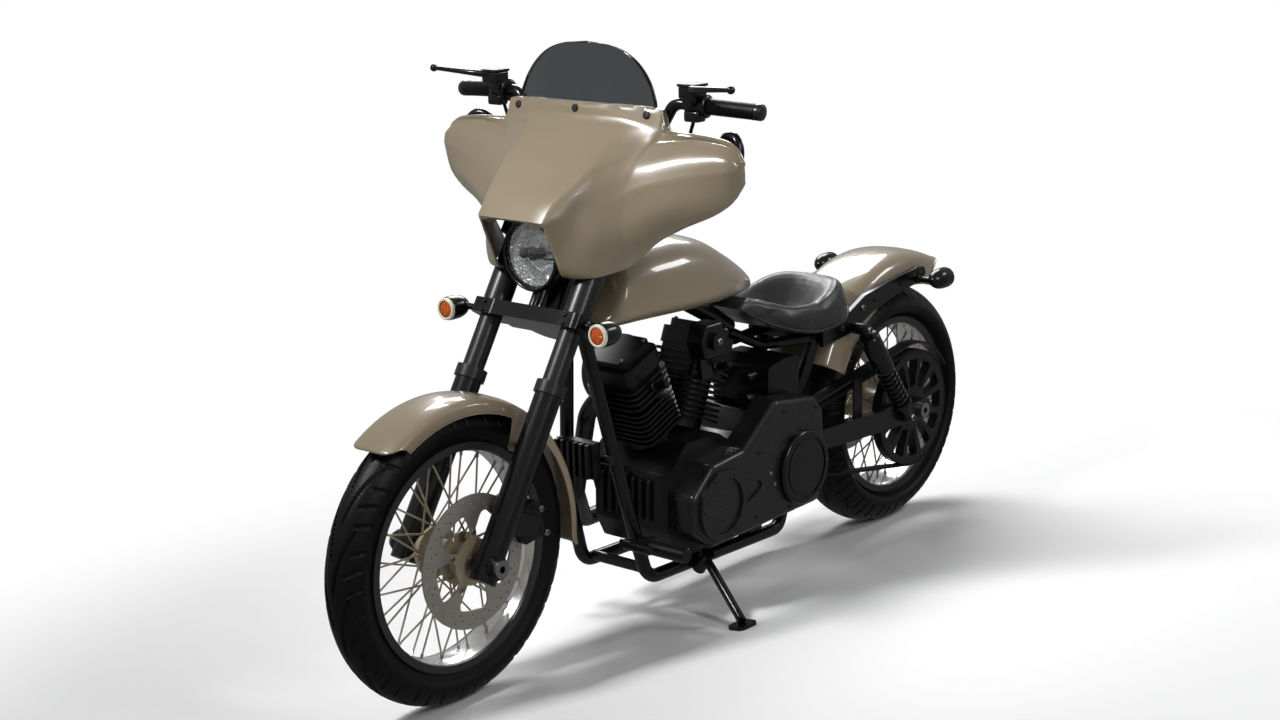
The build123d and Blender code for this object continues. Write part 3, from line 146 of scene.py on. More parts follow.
# %% Lamps
LAMPS = [
    # name, place in metres, aimed at, width, height, watts, spread in degrees
    ("key", (-1.9, -1.5, 2.9), (0.0, 0.0, 0.3), 2.0, 1.8, 108, 180),
    ("front_top", (2.2, -0.5, 3.0), (0.55, 0.0, 0.95), 0.5, 0.5, 10, 60),
    ("left_strip", (1.0, 3.6, 2.4), (0.2, 0.0, 0.6), 0.35, 1.8, 40, 180),
    ("rear_left", (-2.3, 1.8, 2.3), (0.0, 0.0, 0.5), 1.0, 0.6, 18, 180),
]
for name, spot, target, width, height, watts, spread in LAMPS:
    lamp = bpy.data.lights.new(name, "AREA")
    lamp.shape = "RECTANGLE"
    lamp.size, lamp.size_y, lamp.energy = width, height, watts
    lamp.spread = math.radians(spread)
    lamp_object = bpy.data.objects.new(name, lamp)
    scene.collection.objects.link(lamp_object)
    lamp_object.location = spot
    lamp_object.rotation_euler = (Vector(target) - Vector(spot)).to_track_quat("-Z", "Y").to_euler()
print("lamps", len(LAMPS))

# %% [markdown]
# ## Shared effects
# Real finishes are never one even colour. Four small node groups are built once and used by many
# materials: a mottle that shifts colour and gloss, a fine grain for bump, a measure of the distance
# from an axle for turned parts, and a leather grain.

# %% Node groups
FLOAT, COLOR, VECTOR = "NodeSocketFloat", "NodeSocketColor", "NodeSocketVector"


def new_group(name, inputs, outputs):
    """A shader node group with named sockets, and its two end nodes."""
    group = bpy.data.node_groups.new(name, "ShaderNodeTree")
    for label, kind, value in inputs:
        socket = group.interface.new_socket(label, in_out="INPUT", socket_type=kind)
        socket.default_value = value
    for label, kind in outputs:
        group.interface.new_socket(label, in_out="OUTPUT", socket_type=kind)
    print("group", name)
    return group, group.nodes.new("NodeGroupInput"), group.nodes.new("NodeGroupOutput")


# %% Mottle: uneven colour and gloss
mottle, ends, outs = new_group(
    "mottle",
    [("Colour", COLOR, (0.5, 0.5, 0.5, 1)), ("Shade", COLOR, (0.4, 0.4, 0.4, 1)), ("Size", FLOAT, 6.0),
     ("Roughness", FLOAT, 0.4), ("Spread", FLOAT, 0.1)],
    [("Colour", COLOR), ("Roughness", FLOAT)],
)
where = add_node(mottle, "TexCoord").outputs["Object"]
looks = {"Vector": where, "Scale": ends.outputs["Size"], "Detail": 6, "Roughness": 0.62}
cloud = add_node(mottle, "TexNoise", looks).outputs["Fac"]
mixed = mix_colours(mottle, cloud, ends.outputs["Colour"], ends.outputs["Shade"])
mottle.links.new(mixed, outs.inputs["Colour"])
swing = math_node(mottle, "SUBTRACT", cloud, 0.5)
swing = math_node(mottle, "MULTIPLY", swing, ends.outputs["Spread"])
mottle.links.new(math_node(mottle, "ADD", swing, ends.outputs["Roughness"]), outs.inputs["Roughness"])

# %% Grain: height for bump
grain, ends, outs = new_group("grain", [("Size", FLOAT, 900.0), ("Depth", FLOAT, 0.2)], [("Height", FLOAT)])
where = add_node(grain, "TexCoord").outputs["Object"]
speck = add_node(grain, "TexNoise", {"Vector": where, "Scale": ends.outputs["Size"], "Detail": 3})
deep = math_node(grain, "MULTIPLY", speck.outputs["Fac"], ends.outputs["Depth"])
grain.links.new(deep, outs.inputs["Height"])

# %% Lathe lines: distance from an axle
lathe_lines, ends, outs = new_group(
    "lathe_lines",
    [("Axle", VECTOR, (0, 0, 0)), ("Along", VECTOR, (0, 1, 0)), ("Lines", FLOAT, 900.0)],
    [("Across", FLOAT), ("Height", FLOAT)],
)


def vector_node(operation, sockets):
    return add_node(lathe_lines, "VectorMath", sockets, operation=operation).outputs


where, shaft = add_node(lathe_lines, "TexCoord").outputs["Object"], ends.outputs["Along"]
away = vector_node("SUBTRACT", {0: where, 1: ends.outputs["Axle"]})[0]
across = vector_node("DOT_PRODUCT", {0: away, 1: shaft})["Value"]
foot = vector_node("SCALE", {0: shaft, "Scale": across})[0]
reach = vector_node("LENGTH", {0: vector_node("SUBTRACT", {0: away, 1: foot})[0]})["Value"]
looks = {"W": reach, "Scale": ends.outputs["Lines"], "Detail": 4}
rings = add_node(lathe_lines, "TexNoise", looks, noise_dimensions="1D")
lathe_lines.links.new(across, outs.inputs["Across"])
lathe_lines.links.new(rings.outputs["Fac"], outs.inputs["Height"])

# %% Hide: leather-like cells
hide, ends, outs = new_group(
    "hide",
    [("Size", FLOAT, 420.0), ("Depth", FLOAT, 0.5)],
    [("Height", FLOAT), ("Crease", FLOAT)],
)
where = add_node(hide, "TexCoord").outputs["Object"]
looks = {"Vector": where, "Scale": ends.outputs["Size"]}
cells = add_node(hide, "TexVoronoi", looks, feature="DISTANCE_TO_EDGE")
ramp = math_node(hide, "MINIMUM", math_node(hide, "MULTIPLY", cells.outputs["Distance"], 6.0), 1.0)
hide.links.new(math_node(hide, "MULTIPLY", ramp, ends.outputs["Depth"]), outs.inputs["Height"])
hide.links.new(ramp, outs.inputs["Crease"])

# %% [markdown]
# ## Finishes
# Each finish is one Principled shader. A mottle feeds its colour and roughness, a relief feeds its
# bump, and everything that is the same all over is set on the shader itself. Pieces ask for a
# finish by its name.

# %% Material helpers
finish = {}


def put(tree, group, **values):
    return add_node(tree, "Group", values, node_tree=group)


def new_finish(name, **sockets):
    """A material with a bare Principled shader whose plain sockets are set directly."""
    material = bpy.data.materials.new(name)
    material.use_nodes = True
    shader = material.node_tree.nodes["Principled BSDF"]
    for label, value in sockets.items():
        shader.inputs[label.replace("_", " ")].default_value = value
    finish[name] = material
    return material.node_tree, shader


def bump(tree, shader, height, strength, distance):
    node = add_node(tree, "Bump", {"Height": height, "Strength": strength, "Distance": distance})
    tree.links.new(node.outputs["Normal"], shader.inputs["Normal"])


def rgb(red, green, blue):
    return (red, green, blue, 1)


def mottled(tree, shader, **values):
    """Feed a mottle to the colour and the roughness of a shader."""
    patch = put(tree, mottle, **values)
    tree.links.new(patch.outputs["Colour"], shader.inputs["Base Color"])
    tree.links.new(patch.outputs["Roughness"], shader.inputs["Roughness"])


# %% Paints, metals, rubbers and glasses
SATIN = {"Specular_IOR_Level": 0.35}
FINISHES = [
    # name, colour, shade, mottle size, roughness, spread,
    # relief, relief size, bump strength, bump depth in mm, plain sockets
    ("tan_gloss", (0.255, 0.202, 0.130), (0.222, 0.177, 0.116), 5, 0.30, 0.10,
     grain, 1400, 0.05, 0.4, {"Coat_Weight": 1.0, "Coat_Roughness": 0.03}),
    ("tan_wheel", (0.34, 0.28, 0.19), (0.27, 0.222, 0.155), 40, 0.42, 0.2,
     grain, 1100, 0.08, 0.4, {"Coat_Weight": 0.3}),
    # a darker copy of the tan paint: painted shade for the inside faces of the fairing shell
    ("tan_inside_painted_shade", (0.075, 0.062, 0.042), (0.052, 0.043, 0.030), 14, 0.55, 0.2,
     grain, 900, 0.2, 0.4, {"Specular_IOR_Level": 0.2}),
    ("cream_ring", (0.70, 0.70, 0.56), (0.58, 0.57, 0.44), 60, 0.35, 0.2, grain, 1500, 0.08, 0.4, {}),
    ("black_gloss", (0.0022, 0.0022, 0.0025), (0.0045, 0.0045, 0.005), 9, 0.20, 0.14,
     grain, 1200, 0.04, 0.4, {"Specular_IOR_Level": 0.45}),
    ("black_cast", (0.0028, 0.0028, 0.003), (0.006, 0.006, 0.0065), 30, 0.34, 0.16,
     grain, 700, 0.06, 0.4, SATIN),
    ("fin_black", (0.0024, 0.0024, 0.0025), (0.005, 0.005, 0.005), 60, 0.34, 0.20,
     grain, 500, 0.08, 0.4, SATIN),
    ("moulded_black", (0.0026, 0.0026, 0.0028), (0.005, 0.005, 0.0055), 50, 0.32, 0.2,
     grain, 1600, 0.2, 0.4, SATIN),
    ("grey_satin", (0.010, 0.0105, 0.011), (0.015, 0.0155, 0.016), 14, 0.28, 0.10,
     grain, 1000, 0.015, 0.4, {"Specular_IOR_Level": 0.4}),
    ("dial_black", (0.008, 0.008, 0.009), (0.013, 0.013, 0.014), 90, 0.6, 0.2,
     None, 0, 0, 0, {"Specular_IOR_Level": 0.2}),
    ("soft_rubber", (0.0025, 0.0025, 0.0025), (0.0055, 0.0053, 0.005), 45, 0.45, 0.2,
     grain, 1300, 0.3, 0.4, {"Specular_IOR_Level": 0.25}),
    ("belt_weave", (0.004, 0.004, 0.004), (0.010, 0.010, 0.009), 220, 0.66, 0.2,
     hide, 900, 0.4, 0.6, {"Specular_IOR_Level": 0.15}),
    ("seat_vinyl", (0.014, 0.0145, 0.015), (0.022, 0.0225, 0.0235), 11, 0.34, 0.2, hide, 520, 0.22, 0.5,
     {"Specular_IOR_Level": 0.3, "Coat_Weight": 0.15, "Coat_Roughness": 0.2, "Sheen_Weight": 0.04}),
    ("bolt_steel", (0.42, 0.42, 0.43), (0.28, 0.28, 0.29), 120, 0.30, 0.25,
     grain, 2000, 0.1, 0.4, {"Metallic": 1.0}),
    ("dark_bolt", (0.020, 0.020, 0.021), (0.034, 0.034, 0.035), 120, 0.38, 0.2,
     grain, 1800, 0.1, 0.4, {"Metallic": 0.5}),
    # the reflector's colour mottles from white to mid grey: painted reflection standing in for the glints of
    # its facets
    ("lamp_mirror_painted_glints", (0.99, 0.99, 0.99), (0.58, 0.59, 0.60), 150, 0.10, 0.12,
     hide, 130, 0.8, 2.0, {"Metallic": 0.6}),
    ("smoke_sheet", (0.040, 0.042, 0.045), (0.060, 0.062, 0.066), 7, 0.06, 0.05,
     grain, 60, 0.04, 2.0, {"Transmission_Weight": 1.0, "IOR": 1.45, "Specular_IOR_Level": 0.4}),
    ("clear_glass", (0.97, 0.98, 0.98), (0.92, 0.93, 0.94), 40, 0.04, 0.06,
     grain, 220, 0.05, 1.0, {"Transmission_Weight": 1.0, "IOR": 1.45}),
    ("amber_lens", (0.72, 0.13, 0.015), (0.52, 0.08, 0.01), 40, 0.18, 0.06,
     grain, 220, 0.05, 1.0, {"Transmission_Weight": 0.25, "IOR": 1.45}),
    ("red_lens", (0.42, 0.012, 0.010), (0.27, 0.008, 0.007), 40, 0.16, 0.06,
     grain, 220, 0.05, 1.0, {"Transmission_Weight": 0.25, "IOR": 1.45}),
]
for name, colour, shade, size, rough, spread, relief, relief_size, strength, deep, plain in FINISHES:
    tree, shader = new_finish(name, **plain)
    mottled(tree, shader, Colour=rgb(*colour), Shade=rgb(*shade), Size=size, Roughness=rough, Spread=spread)
    if relief:
        surface = put(tree, relief, Size=relief_size, Depth=1.0)
        bump(tree, shader, surface.outputs["Height"], strength, deep / 1000)
print("finishes", sorted(finish))

# %% [markdown]
# ## Floor
# A pale floor takes the shadow. Far from the bike it fades into the white behind it, through light
# of strength one that only the camera sees. In reflections the floor shows the same share of white
# as the sky, or it would wash out every black casting above it.

# %% Floor
FLOOR_HALF = 14
corners = [(x * FLOOR_HALF, y * FLOOR_HALF, 0) for x, y in ((-1, -1), (1, -1), (1, 1), (-1, 1))]
floor_mesh = bpy.data.meshes.new("floor")
floor_mesh.from_pydata(corners, [], [(0, 1, 2, 3)])
floor = bpy.data.objects.new("floor", floor_mesh)
scene.collection.objects.link(floor)
tree, shader = new_finish("pale_floor", Roughness=0.9, Specular_IOR_Level=0.1)
shader.inputs["Base Color"].default_value = rgb(0.93, 0.93, 0.93)
where = add_node(tree, "TexCoord").outputs["Object"]
far = add_node(tree, "VectorMath", {0: where}, operation="LENGTH").outputs["Value"]
span = {"Value": far, "From Min": 0.9, "From Max": 2.6}
fade = add_node(tree, "MapRange", span, interpolation_type="SMOOTHSTEP").outputs["Result"]
rays = add_node(tree, "LightPath").outputs
far_white = math_node(tree, "MULTIPLY", fade, rays["Is Camera Ray"])
glow = add_node(tree, "Emission").outputs[0]
blend = add_node(tree, "MixShader", {0: far_white, 1: shader.outputs[0], 2: glow}).outputs[0]
dim = add_node(tree, "Emission", {"Color": rgb(GLOSS_SHARE, GLOSS_SHARE, GLOSS_SHARE)}).outputs[0]
shown = add_node(tree, "MixShader", {0: rays["Is Glossy Ray"], 1: blend, 2: dim}).outputs[0]
tree.links.new(shown, tree.nodes["Material Output"].inputs["Surface"])
floor_mesh.materials.append(finish["pale_floor"])
print("floor", tuple(floor.dimensions))

# %% [markdown]
# ## A maker's bench
# Sheet metal, castings and tubes on a bike are all sweeps of a section. A small class gathers
# grids, turned rings, swept tubes and rounded blocks in bike millimetres, and one function turns
# the lot into an object that rides a body of the frame.

# %% Smooth lines
def line_through(knots, values, at):
    """A smooth line through a few measured values that never swings past them."""
    knots, values, at = np.asarray(knots, float), np.asarray(values, float), np.asarray(at, float)
    step = np.diff(knots)
    slope = np.diff(values) / step
    lean = np.zeros_like(values)
    same = slope[:-1] * slope[1:] > 0
    lean[1:-1][same] = 2 * slope[:-1][same] * slope[1:][same] / (slope[:-1] + slope[1:])[same]
    lean[0], lean[-1] = slope[0], slope[-1]
    index = np.clip(np.searchsorted(knots, at) - 1, 0, len(step) - 1)
    t = (at - knots[index]) / step[index]
    h = step[index]
    rise = values[index + 1] - values[index]
    start, stop = lean[index] * h, lean[index + 1] * h
    square, cube = 3 * rise - 2 * start - stop, start + stop - 2 * rise
    return values[index] + t * start + t ** 2 * square + t ** 3 * cube


def path_through(points, count):
    """Evenly spread points on a smooth path through a few given ones."""
    points = np.asarray(points, float)
    far = np.concatenate([[0], np.cumsum(np.linalg.norm(np.diff(points, axis=0), axis=1))])
    at = np.linspace(0, far[-1], count)
    return np.stack([line_through(far, points[:, k], at) for k in range(points.shape[1])], 1)


print("halfway along a bend", path_through([(0, 0), (5, 1), (10, 0)], 3)[1])

# %% The bench: points and faces of a piece
class Shape:
    """Points and faces of one piece, gathered bit by bit in bike millimetres."""

    def __init__(self):
        self.points, self.faces, self.paint = [], [], []

    def add(self, points, faces, paint=0):
        base = len(self.points)
        self.points += [tuple(p) for p in points]
        self.faces += [tuple(base + i for i in face) for face in faces]
        self.paint += [paint] * len(faces)

    def grid(self, rows, wrap_rows=False, wrap_across=False, paint=0):
        rows = np.asarray(rows, float)
        n, m = rows.shape[:2]
        faces = [
            (i * m + j, i * m + (j + 1) % m, (i + 1) % n * m + (j + 1) % m, (i + 1) % n * m + j)
            for i in range(n if wrap_rows else n - 1)
            for j in range(m if wrap_across else m - 1)
        ]
        self.add(rows.reshape(-1, 3), faces, paint)

    def skin(self, rows, paint=0):
        """Join closed rings, with a flat face at each end."""
        base, across = len(self.points), len(rows[0])
        self.grid(rows, wrap_across=True, paint=paint)
        count = len(self.points)
        self.faces += [tuple(range(base, base + across)), tuple(range(count - 1, count - across - 1, -1))]
        self.paint += [paint, paint]

    def lathe(self, profile, origin, axis, steps=48, paint=0):
        """Turn (along, radius) points about an axis through the origin."""
        axis = Vector(axis).normalized()
        side = axis.orthogonal().normalized()
        cross = axis.cross(side)
        origin = Vector(origin)
        rows = []
        for k in range(steps):
            a = 2 * math.pi * k / steps
            out = side * math.cos(a) + cross * math.sin(a)
            rows.append([tuple(origin + axis * along + out * radius) for along, radius in profile])
        self.grid(rows, wrap_rows=True, paint=paint)

    def tube(self, path, radius, steps=12, paint=0):
        """Sweep a round section along points, with flat ends."""
        path = [Vector(p) for p in path]
        radii = [radius] * len(path) if isinstance(radius, (int, float)) else radius
        tangent = (path[1] - path[0]).normalized()
        side = tangent.orthogonal().normalized()
        rows = []
        for k, point in enumerate(path):
            ahead = (path[min(k + 1, len(path) - 1)] - path[max(k - 1, 0)]).normalized()
            side = (side - ahead * side.dot(ahead)).normalized()
            cross = ahead.cross(side)
            ring = [2 * math.pi * j / steps for j in range(steps)]
            spokes = [side * math.cos(a) + cross * math.sin(a) for a in ring]
            rows.append([tuple(point + spoke * radii[k]) for spoke in spokes])
        self.skin(rows, paint)

    def block(self, low, high, round_by, paint=0):
        """A block with rounded edges."""
        bm = bmesh.new()
        bmesh.ops.create_cube(bm, size=1)
        size = Vector(high) - Vector(low)
        for v in bm.verts:
            v.co = Vector((v.co.x * size.x, v.co.y * size.y, v.co.z * size.z))
        bmesh.ops.bevel(bm, geom=bm.edges[:], offset=round_by, segments=3, profile=0.5, affect="EDGES")
        centre = (Vector(low) + Vector(high)) / 2
        bm.verts.index_update()
        faces = [[v.index for v in f.verts] for f in bm.faces]
        self.add([centre + v.co for v in bm.verts], faces, paint)
        bm.free()

    def bolt(self, spot, axis, radius, height, paint=0):
        """A round head with a six-sided socket."""
        r, h = radius, height
        self.lathe([(-1, 0.0), (-1, r), (h * 0.7, r), (h, r * 0.82), (h, r * 0.55)], spot, axis, 20, paint)
        self.lathe([(h, r * 0.55), (h * 0.35, r * 0.5), (h * 0.3, 0.0)], spot, axis, 6, paint)


# %% The bench: one object that rides a body
WELD = 0.02 / 1000


def make(shape, name, body, finishes, replaces=(), sharp=38):
    """Turn a gathered shape into an object that rides a body and takes a slot's finish."""
    mesh = bpy.data.meshes.new(name)
    mesh.from_pydata([BIKE @ Vector(p) for p in shape.points], [], shape.faces)
    for label in finishes:
        mesh.materials.append(finish[label])
    mesh.polygons.foreach_set("material_index", shape.paint)
    bm = bmesh.new()
    bm.from_mesh(mesh)
    bmesh.ops.remove_doubles(bm, verts=bm.verts, dist=WELD)
    bmesh.ops.recalc_face_normals(bm, faces=bm.faces)
    bm.to_mesh(mesh)
    bm.free()
    mesh.shade_smooth()
    mesh.set_sharp_from_angle(angle=math.radians(sharp))
    piece = bpy.data.objects.new(name, mesh)
    scene.collection.objects.link(piece)
    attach(piece, body)
    if replaces:
        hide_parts(*replaces)
    print(name, len(mesh.polygons), "faces on", body)
    return piece


def thicken(piece, millimetres):
    """Give a sheet its wall on the inside."""
    wall = piece.modifiers.new("wall", "SOLIDIFY")
    wall.thickness = millimetres / 1000
    wall.offset = -1
    wall.use_even_offset = True
    return wall


print("points closer than", WELD * 1000, "mm are welded")

# %% [markdown]
# ## The fairing shell
# The shell is moulded sheet, painted gloss tan. Its centre panel runs down from the shield strip to
# a brow above the lamp, and a ridge on each side flows up from the brow into the top of the wing.
# Beside the ridge the cheek runs back before it flares out, so the ridge stands proud of the wing.
# Five rails carry those lines, and a smooth line through each column of the table joins them up.

# %% Fairing rails
FAIRING = np.array([
    # y, top x z, shoulder x z, ridge x y z, brow x y z, low x y z
    (0, 1160, 1256, 1166, 1226, 1296, 0, 1110, 1386, 0, 1028, 1325, 0, 902),
    (60, 1157, 1256, 1164, 1226, 1294, 60, 1110, 1385, 60, 1028, 1318, 60, 900),
    (94, 1153, 1256, 1161, 1225, 1294, 94, 1109, 1380, 94, 1027, 1312, 94, 898),
    (121, 1149, 1256, 1158, 1224, 1279, 118, 1120, 1350, 112, 1035, 1306, 121, 898),
    (165, 1143, 1255, 1153, 1219, 1231, 150, 1142, 1295, 137, 1045, 1283, 158, 901),
    (205, 1137, 1253, 1148, 1213, 1193, 184, 1158, 1256, 168, 1063, 1236, 176, 907),
    (224, 1134, 1250, 1146, 1210, 1180, 202, 1164, 1240, 186, 1071, 1215, 188, 914),
    (240, 1133, 1207, 1144, 1201, 1167, 218, 1170, 1229, 202, 1081, 1201, 201, 928),
    (285, 1132, 1204, 1140, 1200, 1148, 268, 1183, 1206, 252, 1099, 1182, 251, 973),
    (325, 1131, 1203, 1138, 1198, 1139, 315, 1190, 1189, 300, 1111, 1163, 299, 1002),
    (390, 1128, 1196, 1133, 1192, 1135, 386, 1185, 1169, 379, 1127, 1148, 380, 1039),
    (424, 1126, 1180, 1130, 1177, 1134, 424, 1171, 1158, 422, 1135, 1139, 422, 1071),
    (437, 1124, 1158, 1127, 1155, 1129, 437, 1152, 1139, 437, 1138, 1128, 437, 1100),
    (441, 1120, 1150, 1121, 1149, 1121, 441, 1147, 1122, 441, 1135, 1121, 441, 1110),
])
MIRROR = np.array([-1, 1, 1, 1, 1, 1, -1, 1, 1, -1, 1, 1, -1, 1])
BROW_HALF = 94


def fairing_rails(y):
    """Where the five rails of the shell pass at one station, left or right of the middle."""
    both = np.concatenate([FAIRING[:0:-1] * MIRROR, FAIRING])
    at = [line_through(both[:, 0], both[:, k], [y])[0] for k in range(1, 14)]
    top, shoulder = np.array((at[0], y, at[1])), np.array((at[2], y, at[3]))
    return top, shoulder, np.array(at[4:7]), np.array(at[7:10]), np.array(at[10:13])


print("fairing half width", FAIRING[-1, 0], "mm")

# %% Fairing shell
WING_TIP = 441
half_stations = np.concatenate([np.linspace(435, WING_TIP, 5), np.linspace(215, 248, 14), [BROW_HALF]])
all_stations = np.concatenate([np.linspace(-435, 435, 113), half_stations, -half_stations])
stations = sorted(set(np.round(all_stations, 2)))
upper, cheek = [], {-1: [], 1: []}
ceiling = []
for y in stations:
    top, shoulder, ridge, brow, low = fairing_rails(y)
    back = np.array((1119.0, y, top[2] - 0.5))
    # every roll shrinks towards the wing tip, where the rails come together
    reach, fall = min(5, 0.6 * (top[0] - back[0])), min(5, 0.5 * (top[2] - shoulder[2]))
    rolled = top - (0.24 * reach, 0, 0.24 * fall)
    sag = min(3, 0.15 * np.linalg.norm(ridge - shoulder))
    crown = min(5, 0.12 * np.linalg.norm(brow - ridge))
    strip = path_through([back, top - (reach, 0, 0), rolled, top - (0, 0, fall), shoulder], 9)
    slope = path_through([shoulder, shoulder * 0.55 + ridge * 0.45 - (sag, 0, sag), ridge], 13)
    front = path_through([ridge, ridge * 0.45 + brow * 0.55 + (crown, 0, crown), brow], 13)
    upper.append(np.concatenate([strip, slope[1:], front[1:]]))
    if abs(y) >= BROW_HALF:
        bulge = min(22, 4 + (abs(y) - BROW_HALF) * 0.16) * min(1, (WING_TIP - abs(y)) / 120)
        lip = low - (min(7, 0.8 * (low[0] - back[0])), 0, -0.5)
        side = 1 if y > 0 else -1
        cheek[side].append(path_through([brow, (brow + low) / 2 + (bulge, 0, 0), low, lip], 18))
    if abs(y) <= BROW_HALF:
        arch = 18 * (abs(y) / BROW_HALF) ** 4
        ceiling.append(path_through([brow, brow - (4, 0, 5 + arch * 0.3), brow - (48, 0, 6 + arch)], 7))
fairing_shape = Shape()
fairing_shape.grid(upper)
for side in (-1, 1):
    fairing_shape.grid(cheek[side])
fairing_shape.grid(ceiling)
fairing_paints = ["tan_gloss", "tan_inside_painted_shade"]
fairing = make(fairing_shape, "fairing_shell", "steering", fairing_paints, ["fairing"], 50)
wall = thicken(fairing, 4)
# the wall's inner faces take the darker tan, painted shade for the inside of the shell
wall.material_offset = 1
wall.use_even_offset = False

# %% [markdown]
# ## Windshield; its screws come later with the fasteners
# The shield is a smoked plastic sheet, bent round the bike and swept back. A grid over its outline
# with a little thickness gives clean reflections; a flat sheet would look like a card.

# %% Windshield
SHIELD_EDGE = np.array([
    # half width, height
    (203, 1235), (203, 1250), (190, 1291), (172, 1320), (144, 1348), (110, 1368), (56, 1382), (0, 1386),
])
BEND, SWEPT_BACK = 18, 0.162
heights = np.linspace(1235, 1386, 30)
edge_y = line_through(SHIELD_EDGE[:, 1], SHIELD_EDGE[:, 0], heights)
rows = []
for z, half in zip(heights, edge_y):
    row = []
    for y in np.linspace(-max(half, 0.5), max(half, 0.5), 33):
        row.append((1150 - (z - 1200) * SWEPT_BACK - BEND * (y / 205) ** 2, y, z))
    rows.append(row)
shield_shape = Shape()
shield_shape.grid(rows)
shield = make(shield_shape, "shield_sheet", "steering", ["smoke_sheet"], ["windshield"], 60)
thicken(shield, 4)

# %% [markdown]
# ## Fuel tank
# A teardrop pressed from two halves: blunt in front, where it faces the fork, and tapering to a
# point under the seat's nose. Each station is a slanted oval, squarer below than above, and a
# tunnel is cut for the frame's backbone.

# %% Fuel tank
TANK = np.array([
    # bottom x z, top x z, half width
    (1176, 806, 1154, 842, 40), (1186, 784, 1144, 866, 84), (1190, 768, 1135, 888, 110),
    (1184, 757, 1120, 906, 125), (1152, 753, 1086, 921, 133), (1060, 751, 1028, 929, 138),
    (960, 748, 948, 929, 140), (880, 745, 880, 921, 137), (800, 742, 806, 902, 125),
    (726, 741, 738, 868, 104), (664, 741, 674, 832, 80), (618, 742, 624, 800, 57),
    (594, 746, 596, 780, 38), (588, 755, 589, 772, 18),
])
ROUND_ABOVE, SQUARE_BELOW, WIDEST = 2.3, 3.2, 0.42
far = np.arange(len(TANK))
tank_shape = Shape()
rows = []
for u in np.linspace(0, len(TANK) - 1, 79):
    bx, bz, tx, tz, half = [line_through(far, TANK[:, k], [u])[0] for k in range(5)]
    ring = []
    for a in np.linspace(0, 2 * math.pi, 65)[:-1]:
        c, s = math.cos(a), math.sin(a)
        power = ROUND_ABOVE if s > 0 else SQUARE_BELOW
        y = half * math.copysign(abs(c) ** (2 / power), c)
        v = (math.copysign(abs(s) ** (2 / power), s) + 1) / 2
        v = WIDEST + (v - 0.5) * 2 * (1 - WIDEST if s > 0 else WIDEST)
        ring.append((bx + (tx - bx) * v, y, bz + (tz - bz) * v))
    rows.append(ring)
tank_shape.skin(rows)
tank = make(tank_shape, "tank_shell", "chassis", ["tan_gloss"], ["fuel_tank"], 60)

# %% Tunnel in the tank
tunnel_shape = Shape()
roof = [(1260, 900), (1150, 862), (1030, 813), (800, 781), (700, 728), (640, 690)]
outline = roof + [(640, 600), (1260, 600)]
corners = len(outline)
sides = [(i, (i + 1) % corners, corners + (i + 1) % corners, corners + i) for i in range(corners)]
ends = [tuple(range(corners)), tuple(range(2 * corners - 1, corners - 1, -1))]
tunnel_shape.add([(x, y, z) for y in (-45, 45) for x, z in outline], ends + sides)
cutter = make(tunnel_shape, "tunnel", "chassis", ["tan_gloss"])
cut = tank.modifiers.new("tunnel", "BOOLEAN")
cut.operation = "DIFFERENCE"
cut.object = cutter
cut.solver = "EXACT"
bpy.context.view_layer.objects.active = tank
bpy.ops.object.modifier_apply(modifier="tunnel")
bpy.data.objects.remove(cutter)
tank.data.set_sharp_from_angle(angle=math.radians(40))
print("tank with tunnel", len(tank.data.polygons))

# %% [markdown]
# ## Fenders
# Both fenders are rolled strips with a crowned section and a beaded lip. The front one follows the
# tyre and drops a tab to each fork leg; the rear one is deep and ends in a tail rounded in plan.

# %% Front fender
def about(axle, angle, y, radius):
    a = math.radians(angle)
    return (axle.x + radius * math.cos(a), y, axle.z + radius * math.sin(a))


def lip_bead(shape, rows, radius):
    """A thin rolled wire along a sheet's edge."""
    for side in (0, -1):
        shape.tube([row[side] for row in rows], radius, 8)


def both_sides(half):
    """A section from edge to edge, from its left half."""
    return [(-y, r) for y, r in half[::-1]] + [(y, r) for y, r in half[1:]]


NOSE_AT, TAB_AT, TAIL_AT = 53, 121.5, 189
front_section = [(0, 352), (25, 351.2), (48, 347.6), (60, 343), (67, 336), (69.4, 327), (69.8, 318)]
rows = []
for angle in np.linspace(NOSE_AT, TAIL_AT, 120):
    drop = 58 * math.exp(-((angle - TAB_AT) / 3.6) ** 4)
    tip = 1 - 0.45 * math.exp(-((TAIL_AT - angle) / 2.4) ** 2)
    half = [(y, r if r > 330 else r - drop * (330 - r) / 12) for y, r in front_section]
    half = [(y, 352 - (352 - r) * (tip if r < 340 else 1)) for y, r in half]
    curl = 7 * max(0.0, 1 - (angle - NOSE_AT) / 14) ** 2
    section = both_sides(path_through(half, 22))
    rows.append([about(FRONT_AXLE, angle + curl * (y / 70) ** 6, y, r) for y, r in section])
fender_shape = Shape()
fender_shape.grid(rows)
lip_bead(fender_shape, rows, 2.2)
for side in (-1, 1):
    foot = (1467.5, 0, 553)
    fender_shape.tube([(foot[0], side * 67, foot[2]), (foot[0], side * 90, foot[2])], 11, 24)
paint = ["tan_gloss"]
front_fender = make(fender_shape, "front_fender_strip", "steering", paint, ["front_fender"], 60)
thicken(front_fender, 2.5)

